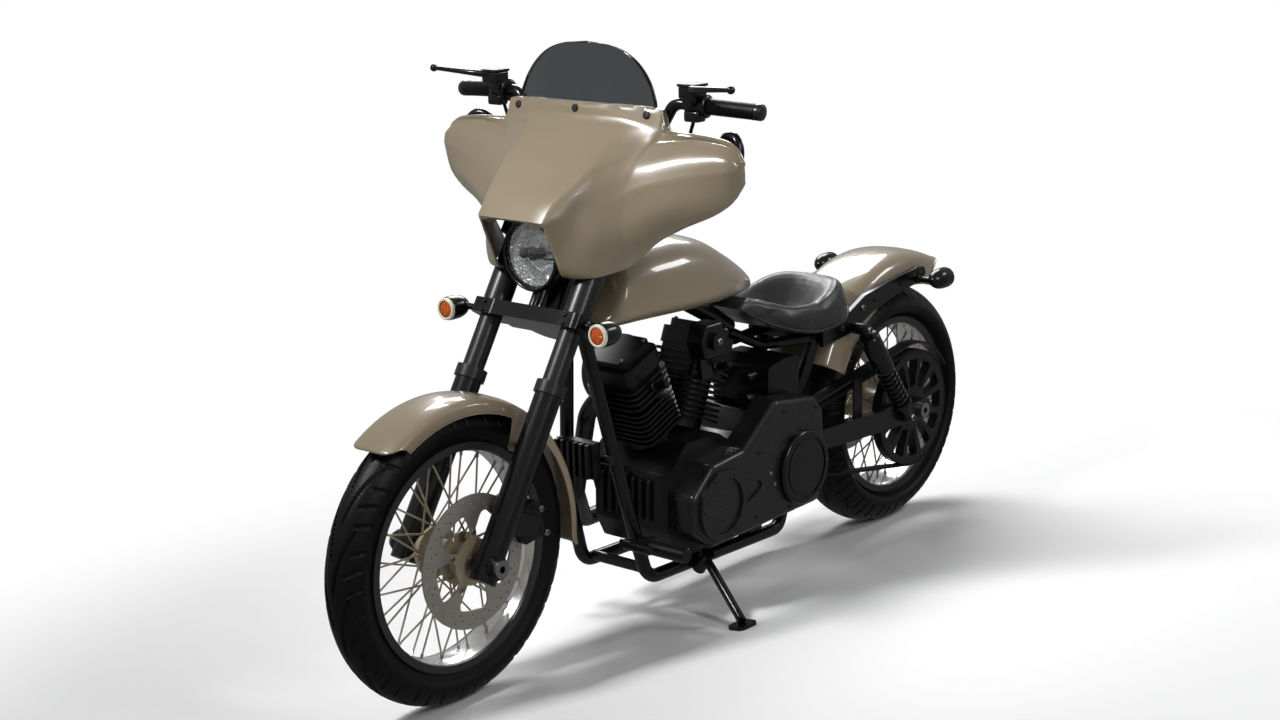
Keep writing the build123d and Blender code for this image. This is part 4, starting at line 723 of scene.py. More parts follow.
# %% Rear fender
rear_section = [
    (0, 418), (34, 416.6), (66, 412), (88, 402.5), (100, 388), (105.2, 368), (105.6, 350), (105.6, 332),
]
START_AT, LAST_AT = 27, 128
rows = []
for share in np.linspace(0, 1, 90):
    row = []
    for y, r in both_sides(path_through(rear_section, 26)):
        tail_x = -195 + 100 * (1 - math.sqrt(max(0.0, 1 - (abs(y) / 106) ** 2)))
        tail = min(LAST_AT, math.degrees(math.acos(max(-1, tail_x / r))))
        row.append(about(REAR_AXLE, START_AT + (tail - START_AT) * share, y, r))
    rows.append(row)
fender_shape = Shape()
fender_shape.grid(rows)
lip_bead(fender_shape, rows, 1.8)
fender_shape.tube(rows[-1], 2.4, 8)
rear_fender = make(fender_shape, "rear_fender_strip", "chassis", paint, ["rear_fender"], 60)
thicken(rear_fender, 2.5)

# %% [markdown]
# ## Tyres
# A tyre is one turned section with a tread cut into it. The rounded crown, the wall and the bead
# come from a short profile, and a depth worked out for each point presses the sweeping grooves and
# the short side sipes into the crown, so they also show on the outline.

# %% Tyre rubber and tread
def rings_about(tree, axle, lines):
    """Lathe lines about a wheel's axle."""
    return put(tree, lathe_lines, Axle=BIKE @ axle, Along=TILT @ Vector((0, 1, 0)), Lines=lines)


def tyre_rubber(name, axle):
    tree, shader = new_finish(name, Specular_IOR_Level=0.2)
    mottled(
        tree, shader, Colour=rgb(0.0018, 0.0018, 0.0017), Shade=rgb(0.0046, 0.0045, 0.0042), Size=26,
        Roughness=0.46, Spread=0.25,
    )
    turned = rings_about(tree, axle, 420.0)
    bump(tree, shader, turned.outputs["Height"], 0.22, 0.0012)


SIPES = [
    # start along a pitch, slant, inner end, outer end as shares of the half width
    (0.30, 0.26, 0.52, 0.98), (0.62, 0.22, 0.66, 1.0), (0.02, 0.24, 0.60, 0.98),
]


def tread_depth(turn, y, half, pitches, deep):
    """Depth of the cut at a turn of the wheel and a distance across the crown, both as arrays."""
    depth = np.zeros_like(turn)
    for side in (-1, 1):
        t = (turn * pitches / (2 * np.pi) + (0.0 if side > 0 else 0.5)) % 1.0
        across = side * y / half
        sweep = 0.10 + 0.62 * t ** 1.4
        width = 0.085 * np.sin(np.pi * np.clip(t, 0.02, 0.98)) ** 0.4
        depth = np.maximum(depth, np.clip((width - abs(across - sweep)) / 0.02, 0, 1))
        for start, slope, low, high in SIPES:
            sipe = abs((t - start - slope * (across - low) + 0.5) % 1.0 - 0.5)
            inside = (across > low) & (across < high)
            depth = np.maximum(depth, np.where(inside, np.clip((0.040 - sipe) / 0.016, 0, 1), 0))
    return depth * deep


print("short cuts on each pitch", len(SIPES))

# %% Tyres
TYRES = [
    # node, body, axle, radius, half width, shoulder drop, rim radius, rim half width, pitches, depth
    ("front_tyre", "front_wheel", FRONT_AXLE, 331, 51, 44, 252, 42, 14, 5.5),
    ("rear_tyre", "rear_wheel", REAR_AXLE, 324, 80, 55, 238, 55, 16, 6.0),
]
for node, body, axle, radius, half, drop, rim_r, rim_half, pitches, deep in TYRES:
    crown = (half * half + drop * drop) / (2 * drop)
    reach = math.asin(half / crown) if drop <= crown else math.pi - math.asin(half / crown)
    arc = np.linspace(-reach, reach, 67)
    tread = np.stack([crown * np.sin(arc), radius - crown * (1 - np.cos(arc))], 1)
    wall_end = radius - drop
    wall = path_through([
        (half, wall_end), (half - 0.6, wall_end - 7), (half - 6, (wall_end + rim_r) / 2),
        (rim_half - 3, rim_r + 4.5), (rim_half - 5.2, rim_r + 1), (rim_half - 5.2, rim_r - 10),
    ], 13)
    section = np.concatenate([(wall * (-1, 1))[::-1][:-1], tread, wall[1:]])
    steps = 60 * pitches if node == "front_tyre" else 54 * pitches
    turn = np.linspace(0, 2 * np.pi, steps, endpoint=False)
    grid_turn, grid_y = np.meshgrid(turn, section[:, 0], indexing="ij")
    cut = tread_depth(grid_turn, grid_y, half, pitches, deep)
    on_crown = section[:, 1] > wall_end + 0.5
    radial = section[None, :, 1] - cut * on_crown[None, :]
    ahead, up = radial * np.cos(grid_turn), radial * np.sin(grid_turn)
    tyre_shape = Shape()
    tyre_shape.grid(np.stack([axle.x + ahead, grid_y, axle.z + up], 2), wrap_rows=True)
    tyre_rubber(node + "_rubber", axle)
    make(tyre_shape, node + "_tread", body, [node + "_rubber"], [node], 48)

# %% [markdown]
# ## Seat
# A solo seat is moulded foam under vinyl: a dish with a rolled rim that climbs to a crest at the
# back, over a thin skirt that sits on the frame. A closed form is laid out from its plan, then
# inflated a little as cloth, which rounds the roll the way stretched vinyl does over foam.

# %% Seat form
SEAT_PLAN = [
    (702, 0), (701, 60), (696, 88), (640, 101), (560, 132), (490, 146),
    (420, 147), (350, 140), (296, 118), (258, 78), (239, 38), (234, 0),
]
SEAT_LINES = np.array([
    # x, dish z, rim z, crease z, underside z
    (704, 729, 732, 722, 717), (650, 710, 722, 690, 684), (596, 676, 706, 662, 654),
    (520, 644, 690, 638, 629), (440, 632, 688, 626, 615), (360, 636, 702, 628, 616),
    (300, 652, 718, 640, 629), (264, 676, 724, 656, 648), (234, 708, 722, 674, 667),
])[::-1]
DISH, RIM, CREASE, UNDERSIDE = 1, 2, 3, 4


def seat_line(column, x):
    return line_through(SEAT_LINES[:, 0], SEAT_LINES[:, column], np.clip(x, 234, 704))


half_plan = path_through(SEAT_PLAN, 61)
plan = np.concatenate([half_plan, (half_plan * (1, -1))[-2:0:-1]])
heart = np.array((470.0, 0.0))
crease, underside = seat_line(CREASE, plan[:, 0]), seat_line(UNDERSIDE, plan[:, 0])
levels = []
for v in np.concatenate([np.linspace(0.06, 0.86, 15), [0.92, 0.965, 0.99, 1.0]]):
    spot = heart + (plan - heart) * v
    to_rim = np.clip((v - 0.25) / 0.6, 0, 1)
    to_rim = to_rim * to_rim * (3 - 2 * to_rim)
    z = seat_line(DISH, spot[:, 0]) * (1 - to_rim) + seat_line(RIM, plan[:, 0]) * to_rim
    fall = np.clip((v - 0.86) / 0.14, 0, 1) ** 2.4
    z = z + (crease - z) * fall
    levels.append(np.column_stack([spot, z]))
for v, share in ((1.0, 0.55), (0.985, 1.0)):
    spot = heart + (plan - heart) * v
    levels.append(np.column_stack([spot, crease + (underside - crease) * share]))
for v in (0.9, 0.75, 0.6, 0.45, 0.3, 0.15, 0.05):
    # the pan's underside arches over the rear fender
    spot = heart + (plan - heart) * v
    arch = np.interp(abs(spot[:, 1]), [0, 66, 95, 106, 120, 121], [419.5, 413.5, 398, 372, 372, 0])
    clear = REAR_AXLE.z + np.sqrt(np.maximum(arch ** 2 - spot[:, 0] ** 2, 0)) + 2
    under = np.maximum(underside, np.where(arch > abs(spot[:, 0]), clear, 0))
    levels.append(np.column_stack([spot, np.minimum(under, seat_line(DISH, spot[:, 0]) - 10)]))
seat_shape = Shape()
seat_shape.skin(levels)
print("seat form", len(seat_shape.points), "points")

# %% Seat stuffing
MOST_SWELL = 0.004
seat = make(seat_shape, "seat_pad", "chassis", ["seat_vinyl"], ["seat"], 180)
rest = np.array([v.co[:] for v in seat.data.vertices])
bpy.context.view_layer.objects.active = seat
seat.data.remesh_voxel_size = 0.005
seat.select_set(True)
bpy.ops.object.voxel_remesh()
rest = np.array([v.co[:] for v in seat.data.vertices])
pad = seat.modifiers.new("stuffing", "CLOTH")
pad.settings.use_pressure = True
pad.settings.uniform_pressure_force = 4
pad.settings.effector_weights.gravity = 0
for number in range(1, 21):
    scene.frame_set(number)
puffed = seat.evaluated_get(bpy.context.evaluated_depsgraph_get())
moved = np.array([v.co[:] for v in puffed.data.vertices]) - rest
seat.modifiers.remove(pad)
scene.frame_set(1)
upright = np.array(BIKE.inverted().to_3x3()) * 0.001
length = np.linalg.norm(moved, axis=1, keepdims=True)
moved *= np.minimum(1, MOST_SWELL / np.maximum(length, 1e-9))
moved[(moved @ upright.T)[:, 2] < 0] *= 0.1
seat.data.vertices.foreach_set("co", (rest + moved).ravel())
seat.data.update()
print("stuffing moved up to", round(float(np.linalg.norm(moved, axis=1).max()) * 1000, 1), "mm")
seat.data.shade_smooth()
soften = seat.modifiers.new("soften", "SUBSURF")
soften.levels = soften.render_levels = 1

# %% Seat piping
piping = Shape()
edge = np.column_stack([heart + (plan - heart) * 1.002, crease - 1])
ring = [tuple(p) for p in edge] + [tuple(edge[0])]
piping.tube(ring, 2.6, 10)
make(piping, "seat_piping", "chassis", ["seat_vinyl"])

# %% [markdown]
# ## Wheels
# The rims are alloy, dark on the flanges and polished inside the well, so one material changes with
# the distance across the rim. The discs are ground steel: a flat filled curve cuts the lobes and
# the two staggered rows of holes in one go, which a boolean for each hole would make slow.

# %% Rim and disc finishes
def turned_metal(name, axle, light, dark, lines, rough, **plain):
    """Ground metal with fine rings about an axle."""
    tree, shader = new_finish(name, **plain)
    turned = rings_about(tree, axle, lines)
    tone = mix_colours(tree, turned.outputs["Height"], dark, light)
    tree.links.new(tone, shader.inputs["Base Color"])
    patch = put(tree, mottle, Size=30, Roughness=rough, Spread=0.25)
    tree.links.new(patch.outputs["Roughness"], shader.inputs["Roughness"])
    bump(tree, shader, turned.outputs["Height"], 0.12, 0.0004)


def rim_metal(name, axle, half):
    """Dark flanges and a polished well, split by the distance across the rim."""
    tree, shader = new_finish(name)
    turned = rings_about(tree, axle, 300.0)
    side = math_node(tree, "ABSOLUTE", turned.outputs["Across"], 0.0)
    span = {"Value": side, "From Min": half - 0.009, "From Max": half - 0.006}
    painted = add_node(tree, "MapRange", span).outputs["Result"]
    tone = mix_colours(tree, painted, rgb(0.80, 0.80, 0.79), rgb(0.030, 0.030, 0.031))
    tree.links.new(tone, shader.inputs["Base Color"])
    bare = math_node(tree, "SUBTRACT", 0.7, math_node(tree, "MULTIPLY", painted, 0.4))
    tree.links.new(bare, shader.inputs["Metallic"])
    patch = put(tree, mottle, Size=35, Roughness=0.16, Spread=0.2)
    duller = math_node(tree, "MULTIPLY", painted, 0.2)
    gloss = math_node(tree, "ADD", patch.outputs["Roughness"], duller)
    tree.links.new(gloss, shader.inputs["Roughness"])
    bump(tree, shader, turned.outputs["Height"], 0.05, 0.0004)


rim_metal("front_rim_metal", FRONT_AXLE, 0.042)
rim_metal("rear_rim_metal", REAR_AXLE, 0.055)
print("finishes with the rims", len(finish))

# %% Disc outlines
def round_spline(curve, points):
    spline = curve.splines.new("POLY")
    spline.points.add(len(points) - 1)
    for point, (x, z) in zip(spline.points, points):
        point.co = (x, z, 0, 1)
    spline.use_cyclic_u = True


def ring_points(radius, steps, centre=(0, 0), start=0.0):
    angles = [start + 2 * math.pi * k / steps for k in range(steps)]
    return [(centre[0] + radius * math.cos(a), centre[1] + radius * math.sin(a)) for a in angles]


def polar(radius, degrees):
    a = math.radians(degrees)
    return (radius * math.cos(a), radius * math.sin(a))


def from_lobe(degrees):
    """Degrees from the middle of the nearest of a disc's five lobes."""
    return (degrees - 20 + 36) % 72 - 36


print("one lobe is at", polar(100, 20))

# %% Brake discs
DISCS = [
    # node, body, axle, middle of the thickness in y
    ("front_disc", "front_wheel", FRONT_AXLE, 75.5),
    ("rear_disc", "rear_wheel", REAR_AXLE, -87.5),
]
DISC_R, HOLE_R = 147.5, 3.1
for node, body, axle, y in DISCS:
    curve = bpy.data.curves.new(node, "CURVE")
    curve.dimensions = "2D"
    curve.fill_mode = "BOTH"
    curve.extrude = 1.9
    curve.bevel_depth = 0.5
    round_spline(curve, ring_points(DISC_R, 180))
    inner = []
    for degrees in np.arange(0, 360, 1.5):
        near = from_lobe(degrees)
        lobe = 38 * math.exp(-(near / 10.5) ** 4)
        hook = 5 * math.exp(-((near - 21) / 7) ** 2)
        inner.append(polar(108.5 - lobe + hook, degrees))
    round_spline(curve, inner)
    for k in range(40):
        round_spline(curve, ring_points(HOLE_R, 14, polar(137 if k % 2 else 128.5, 9 * k)))
        if k % 2 == 0:
            round_spline(curve, ring_points(HOLE_R, 14, polar(118.5, 9 * k + 4.5)))
    holder = bpy.data.objects.new(node + "_flat", curve)
    flat = bpy.data.meshes.new_from_object(holder)
    flat.transform(Matrix.Translation(axle + Vector((0, y, 0))) @ Matrix.Rotation(math.pi / 2, 4, "X"))
    disc_shape = Shape()
    disc_shape.add([v.co for v in flat.vertices], [list(p.vertices) for p in flat.polygons])
    bpy.data.objects.remove(holder)
    turns = np.arange(0, 360, 2)
    carrier = [polar(52 + 26 * math.exp(-(from_lobe(d) / 9) ** 4), d) for d in turns]
    bore = [polar(26, d) for d in turns]
    out = 1 if y > 0 else -1
    inside, outside = y - out * 2.4, y + out * 2.2
    face = [(axle.x + px, inside, axle.z + pz) for px, pz in carrier]
    back = [(x, outside, z) for x, _, z in face]
    hole = [(axle.x + px, inside, axle.z + pz) for px, pz in bore]
    sunk = [(x, outside, z) for x, _, z in hole]
    disc_shape.grid([hole, face, back, sunk], wrap_rows=True, wrap_across=True, paint=1)
    for k in range(5):
        px, pz = polar(66, 20 + 72 * k)
        disc_shape.bolt((axle.x + px, outside, axle.z + pz), (0, out, 0), 6, 4, 2)
    light, dark = rgb(0.40, 0.375, 0.335), rgb(0.25, 0.235, 0.21)
    turned_metal(node + "_steel", axle, light, dark, 700.0, 0.34, Metallic=0.5)
    metals = [node + "_steel", "tan_wheel", "bolt_steel"]
    make(disc_shape, node + "_plate", body, metals, [node], 30)

# %% Spoke nipples
LACING = [
    # body, axle, radius of the rim's well, flange place
    ("front_wheel", FRONT_AXLE, 228, 38),
    ("rear_wheel", REAR_AXLE, 214, 48),
]
SPOKES, SWEEP, FLANGE_R = 20, 38, 51
pitch = 360 / SPOKES
for body, axle, well, flange in LACING:
    nipples = Shape()
    for side in (-1, 1):
        for index in range(SPOKES):
            lead = 1 if index % 2 else -1
            hub_turn = math.radians(pitch * index + pitch / 2 * side)
            rim_turn = hub_turn + math.radians(SWEEP) * lead
            start = axle + Vector((0, side * (flange + 3 * lead), 0))
            start += Vector((math.cos(hub_turn), 0, math.sin(hub_turn))) * FLANGE_R
            end = axle + Vector((0, side * (7 + 2.6 * lead), 0))
            end += Vector((math.cos(rim_turn), 0, math.sin(rim_turn))) * well
            along = (start - end).normalized()
            nipples.tube([end - along, end + along * 9, end + along * 11], [3.4, 3.4, 2.4], 8)
            nipples.tube([start + along * 2, start - along * 6], [3.6, 2.6], 8)
    make(nipples, body + "_nipples", body, ["bolt_steel"])

# %% [markdown]
# ## Headlamp
# Behind a clear domed glass sits a bright reflector pressed into small facets, with a black shield
# in front of each bulb. The facets are real flat faces, so they break the reflection up as the
# pressed ones do. A fine mottle of white and grey specks in the reflector's colour is painted reflection on
# top.

# %% Lamp bucket
RAKE = math.radians(31.5)
FORK_AHEAD = Vector((math.cos(RAKE), 0, math.sin(RAKE)))
FORK_UP = Vector((-math.sin(RAKE), 0, math.cos(RAKE)))


def fork_at(u, y, t):
    """A point of the steered group: ahead of the stem, to the left, up the stem from axle level."""
    return FRONT_AXLE + FORK_AHEAD * (u - 55) + Vector((0, y, 0)) + FORK_UP * t


LAMP = Vector((1325, 0, 939))
FORWARD = (1, 0, 0)
SHELL = [(-66, 0.5), (-66, 38), (-63, 51), (-46, 66), (-30, 75)]
TRIM_RING = [
    (-30, 75), (-27, 80), (-23, 82), (-9, 82), (-3, 80), (0, 76.5), (-1.5, 73), (-8, 71.6), (-16, 71),
]
bucket = Shape()
bucket.lathe(path_through(SHELL, 20), LAMP, FORWARD, 64)
bucket.lathe(path_through(TRIM_RING, 34), LAMP, FORWARD, 96)
foot = fork_at(66, 0, 567.2)
knee = foot + FORK_UP * 26
bucket.tube(path_through([foot, knee, LAMP + Vector((-38, 0, -58))], 14), 11, 20)
make(bucket, "lamp_bucket", "steering", ["black_gloss"], ["headlamp"], 50)

# %% Lamp bowl
BOWL = path_through([(-16, 70.4), (-24, 61.5), (-33, 51.4), (-42.6, 40.4), (-43.2, 26), (-43.4, 3)], 13)
DENT = 2.4
bowl = Shape()
rows = []
for step in range(40):
    a = 2 * math.pi * step / 40
    row = []
    for k, (x, r) in enumerate(BOWL):
        dent = DENT if (step + k) % 2 and 0 < k < len(BOWL) - 1 else 0.0
        row.append((LAMP.x + x + dent, (r - dent) * math.cos(a), LAMP.z + (r - dent) * math.sin(a)))
    rows.append(row)
bowl.grid(rows, wrap_rows=True)
for y, size, hole in ((-25, 12, 0.1), (2, 14, 5)):
    hood = [
        (0, size * 0.8), (22, size * 0.9), (26, size), (31, size), (34, size * 0.75), (34, hole), (30, 0.1),
    ]
    bowl.lathe(path_through(hood, 22), LAMP + Vector((-42, y, 1)), FORWARD, 28, 1)
for z in (-4, 5):
    wire = [(-12, 8, z), (-13, 34, z * 1.4), (-22, 60, z * 1.8)]
    bowl.tube([LAMP + Vector(p) for p in wire], 1.8, 10, 1)
make(bowl, "lamp_bowl", "steering", ["lamp_mirror_painted_glints", "moulded_black"], (), 8)

# %% Lamp glass
GLASS_R = 70.4
glass = Shape()
dome = [(7 - 15 * (r / GLASS_R) ** 2.2, r) for r in np.linspace(0.2, GLASS_R, 18)]
inner = [(x - 3.6, r) for x, r in dome[::-1]]
glass.lathe(dome + inner, LAMP, FORWARD, 72)
make(glass, "lamp_glass", "steering", ["clear_glass"], ["headlamp_lens"], 50)

# %% [markdown]
# ## Turn signals
# Each signal is a turned bullet on a short stalk. The front ones carry a pale ring round a ribbed
# amber lens, the rear ones a red lens. One profile, turned four times, makes all the bodies.

# %% Turn signals
BULLET = path_through([
    (2, 25.4), (0, 26.8), (-6, 27), (-24, 26.8), (-38, 24.4), (-50, 18.4), (-59, 10.6), (-63, 4), (-64, 0.1),
], 34)
LENS_RING = path_through([(0.2, 25.2), (5, 25.4), (8.6, 24.4), (9.6, 21.5), (8.4, 19)], 16)
LENS_R = 19.2
SIGNALS = [
    # name, body, nodes replaced, lens middle, way the lens faces,
    # stalk foot, stalk end y, ring finish, lens finish
    ("front", "steering", "front_signal", (1355, 229, 797), 1,
     fork_at(55, 159.2, 550), 221, "cream_ring", "amber_lens"),
    ("rear", "chassis", "rear_signal", (-48, 184, 680), -1,
     Vector((-22, 118.2, 672)), 176, "moulded_black", "red_lens"),
]
for name, body, node, middle, way, stalk, stalk_y, ring_finish, lens in SIGNALS:
    bodies, lenses = Shape(), Shape()
    for side in (-1, 1):
        spot = Vector((middle[0], side * middle[1], middle[2]))
        foot = (stalk.x, side * stalk.y, stalk.z)
        bodies.lathe(BULLET, spot, (way, 0, 0), 40)
        bodies.tube([foot, (stalk.x, side * stalk_y, stalk.z)], 8, 20)
        bodies.lathe([(0, 0.1), (0, 11), (5, 11), (7, 8)], foot, (0, side, 0), 20)
        lenses.lathe(LENS_RING, spot, (way, 0, 0), 48, 0)
        rows = []
        for r in np.linspace(0.2, LENS_R, 16):
            row = []
            for a in np.linspace(0, 2 * math.pi, 56, endpoint=False):
                rib = 0.55 * math.cos(2 * math.pi * r * math.sin(a) / 3.2)
                swell = 9.4 - 3.2 * (r / LENS_R) ** 2 + rib * (1 - (r / LENS_R) ** 6)
                row.append((spot.x + way * swell, spot.y + r * math.cos(a), spot.z + r * math.sin(a)))
            rows.append(row)
        lenses.grid(rows, wrap_across=True, paint=1)
    make(bodies, name + "_signal_bullets", body, ["black_gloss"], [node + "s"], 50)
    make(lenses, name + "_signal_lens_rings", body, [ring_finish, lens], [node + "_lenses"], 50)

# %% [markdown]
# ## Grips and hand controls
# A rubber grip with shallow rings, a two-part switch housing clamped on the bar, a square reservoir
# with a lid, and a lever whose blade thins before it ends in a ball. All of them are placed along
# the straight end of the bar, so they stay on it.

# %% Grips
BAR_END = Vector((1065, 443, 1251.007))
BAR_TOP = Vector((1098, 232, 1262.007))


def on_bar(side, back):
    """A point on the bar, measured back from its end, and the way along it to that end."""
    along = (BAR_END - BAR_TOP).normalized()
    spot = BAR_END - along * back
    return Vector((spot.x, side * spot.y, spot.z)), Vector((along.x, side * along.y, along.z))


grips_shape = Shape()
for side in (-1, 1):
    spot, along = on_bar(side, 128)
    sleeve = [(0, 13.2), (0.5, 17.4), (2, 18.2), (5, 18.2), (7, 16.6)]
    for k in range(17):
        s = 9 + 5.6 * k
        sleeve += [(s, 16.6), (s + 0.6, 17.5), (s + 4.2, 17.5), (s + 4.8, 16.6)]
    sleeve += [(105, 16.8), (106, 17.9), (113, 17.9), (114, 16.2)]
    grips_shape.lathe(sleeve, spot, along, 44, 0)
    cap = [(114, 16.2), (115, 17.6), (117, 18), (127, 18), (130, 17), (132, 14), (132.2, 0.1)]
    grips_shape.lathe(cap, spot, along, 44, 1)
rubbers = ["soft_rubber", "grey_satin"]
make(grips_shape, "ribbed_grips", "steering", rubbers, ["grips"], 40)

# %% Hand controls
HOUSING = [
    (0, 13.2), (0, 21), (2, 24.6), (5, 26), (22, 26), (23.2, 25),
    (24.8, 25), (26, 26), (44, 26), (47, 24.6), (49.4, 21), (49.6, 13.2),
]
LEVER = [(30, 24, 37), (45, 46, 39), (56, 70, 41.5), (66, 120, 45), (72, 172, 48)]
BALL_R = 9
hands = Shape()
for side in (-1, 1):
    spot, along = on_bar(side, 178)
    hands.lathe(HOUSING, spot, along, 40, 0)
    low = spot + Vector((-2, side * 26 - 20, -34))
    hands.block(low, low + Vector((30, 40, 24)), 5)
    for k in range(3):
        key = spot + Vector((-28, side * (12 + 13 * k), 4 - 7 * (k % 2)))
        hands.block(key - Vector((4, 4.5, 4)), key + Vector((5, 4.5, 4)), 1.6, 2)
    tank_low = spot + Vector((-4, side * 26 - 22, 17))
    hands.block(tank_low, tank_low + Vector((46, 44, 26)), 4)
    lid_low = spot + Vector((-6, side * 26 - 24, 42.2))
    hands.block(lid_low, lid_low + Vector((50, 48, 6.5)), 2.4, 3)
    for dx in (3, 37):
        hands.bolt(spot + Vector((dx, side * 26, 48)), (0, 0, 1), 3.4, 1.4, 1)
    clamp = spot + Vector((14, side * 20, 10))
    hands.block(clamp - Vector((20, 15, 12)), clamp + Vector((20, 15, 14)), 5)
    lever = [spot + Vector((x, side * y, z)) for x, y, z in LEVER]
    thick = line_through([0, 6, 12, 20, 25], [9.5, 7.6, 6.4, 5.4, 5.0], np.arange(26))
    hands.tube(path_through(lever, 26), list(thick), 14, 0)
    half_turn = np.linspace(0, math.pi, 15)
    ball = [(-BALL_R * math.cos(a), max(0.05, BALL_R * math.sin(a))) for a in half_turn]
    hands.lathe(ball, lever[-1], (0, 1, 0), 24, 0)
    hands.bolt(spot + Vector((33, side * 28, 44)), (0, 0, 1), 6, 5, 1)
blacks = ["black_gloss", "bolt_steel", "moulded_black", "soft_rubber"]
make(hands, "hand_controls_fine", "steering", blacks, ["hand_controls"], 40)

# %% [markdown]
# ## Rear shocks
# The upper can is black with three rings, and a wound spring shows below it round the damper. The
# spring is a tube swept along a helix; plain rings would read as washers.

# %% Rear shocks
SHOCK_TOP, SHOCK_LOW, SHOCK_Y = Vector((282, 0, 598)), Vector((84, 0, 326)), 162
COILS, COIL_STEPS = 7, 24
shocks = Shape()
for side in (-1, 1):
    top = SHOCK_TOP + Vector((0, side * SHOCK_Y, 0))
    low = SHOCK_LOW + Vector((0, side * SHOCK_Y, 0))
    along = (low - top).normalized()
    can = [(22, 0.1), (22, 20), (25, 25), (29, 27)]
    for s in (104, 118, 132):
        can += [(s, 27), (s + 1, 25.2), (s + 5, 25.2), (s + 6, 27)]
    can += [(146, 27), (149, 25.5), (150, 22), (150, 12)]
    shocks.lathe(can, top, along, 40)
    shocks.lathe([(150, 11.5), (284, 11.5), (286, 18), (300, 18), (303, 15), (303, 0.1)], top, along, 28)
    shocks.lathe([(274, 12), (274, 25), (277, 26.5), (283, 26.5), (285, 24), (285, 12)], top, along, 36)
    wide = along.orthogonal().normalized()
    deep = along.cross(wide)
    helix = []
    for k in range(COILS * COIL_STEPS + 1):
        a = 2 * math.pi * k / COIL_STEPS
        s = 153 + 118 * k / (COILS * COIL_STEPS)
        helix.append(top + along * s + (wide * math.cos(a) + deep * math.sin(a)) * 21.5)
    shocks.tube(helix, 4.4, 10)
    shocks.tube([top - along * 2, top + along * 30], 12, 20)
    shocks.tube([top + along * 296, low], 12, 20)
    for spot, inner in ((top, 118.2), (low, 148.2)):
        eye = Vector((spot.x, side * inner, spot.z))
        width = SHOCK_Y - inner + 12
        boss = [(0, 0.1), (0, 15), (width - 3, 15), (width, 12.5), (width, 0.1)]
        shocks.lathe(boss, eye, (0, side, 0), 32)
        shocks.bolt(Vector((spot.x, side * 173.5, spot.z)), (0, side, 0), 8.5, 6, 1)
metals = ["black_gloss", "bolt_steel"]
make(shocks, "wound_shocks", "chassis", metals, ["rear_shocks"], 40)

# %% [markdown]
# ## The rider's side of the fairing
# Two gauges and two speakers look back at the rider, and a round pod caps each wing. Each gauge has
# a bezel, a dark dial with plain ticks, a needle and a flat glass, and each speaker has a ring and a
# domed net. The ticks are thin faces, so the dial needs no picture.

# %% Gauges
BACK = Vector((-1, 0, 0))
BEZEL = path_through([(-6, 44.2), (0, 44.4), (5, 43.4), (6.6, 41), (5, 38.6), (0.2, 38)], 20)
TICK_END = 36
gauges = Shape()
for side in (-1, 1):
    spot = Vector((1099, side * 62, 1178))
    gauges.lathe(BEZEL, spot, BACK, 56, 0)
    gauges.lathe([(0.6, 39), (0.6, 0.1)], spot, BACK, 56, 1)
    for k in range(41):
        a = math.radians(220 - 6.5 * k)
        length, half = (7, 0.7) if k % 5 == 0 else (4, 0.4)
        way = Vector((0, -math.cos(a), math.sin(a)))
        wide = Vector((0, math.sin(a), math.cos(a))) * half
        near, tick_end = [spot + BACK + way * r for r in (TICK_END - length, TICK_END)]
        gauges.add([near - wide, near + wide, tick_end + wide, tick_end - wide], [(0, 1, 2, 3)], 2)
    needle = Vector((0, -math.cos(math.radians(215)), math.sin(math.radians(215))))
    pivot = spot + BACK * 1.8
    gauges.tube([pivot - needle * 7, pivot + needle * 31], [1.3, 0.4], 6, 3)
    gauges.lathe([(1, 4.5), (3, 4.2), (3.6, 0.1)], spot, BACK, 20, 0)
    gauges.lathe([(3.8, 38.8), (4.4, 38.8), (4.4, 0.1)], spot, BACK, 48, 4)
paints = ["grey_satin", "dial_black", "cream_ring", "red_lens", "clear_glass"]
make(gauges, "gauge_dials", "steering", paints, (), 40)

# %% Speakers
tree, shader = new_finish("speaker_net", Specular_IOR_Level=0.3, Metallic=0.4)
mesh_cells = put(tree, hide, Size=330.0, Depth=1.0)
light, dark = rgb(0.035, 0.035, 0.036), rgb(0.003, 0.003, 0.003)
holes = mix_colours(tree, mesh_cells.outputs["Crease"], light, dark)
tree.links.new(holes, shader.inputs["Base Color"])
patch = put(tree, mottle, Size=80, Roughness=0.5, Spread=0.2)
tree.links.new(patch.outputs["Roughness"], shader.inputs["Roughness"])
bump(tree, shader, mesh_cells.outputs["Height"], -0.6, 0.001)
WING_POD = path_through([(-8, 0.1), (-9, 34), (-5, 41), (4, 43), (9, 40), (11, 32), (11, 0.1)], 24)
SPEAKER_RING = path_through([(-4, 62.3), (0, 62.4), (4, 61), (6, 57), (4.4, 54)], 16)
SPEAKER_NET = path_through([(4.4, 54.4), (7, 40), (8.6, 20), (9, 0.1)], 14)
grilles = Shape()
for side in (-1, 1):
    grilles.lathe(WING_POD, (1086, side * 374, 1167), (-0.95, side * 0.3, 0), 48, 0)
    speaker = Vector((1077, side * 305, 1130))
    grilles.lathe(SPEAKER_RING, speaker, BACK, 64, 0)
    grilles.lathe(SPEAKER_NET, speaker, BACK, 64, 1)
make(grilles, "speaker_grilles", "steering", ["black_gloss", "speaker_net"], (), 40)

# %% [markdown]
# ## Fasteners and caps
# Bolts tell the eye how big a machine is. Each row of this table is a place, a direction and a
# size; the heads have six-sided sockets. The fuel cap is turned with a milled edge.

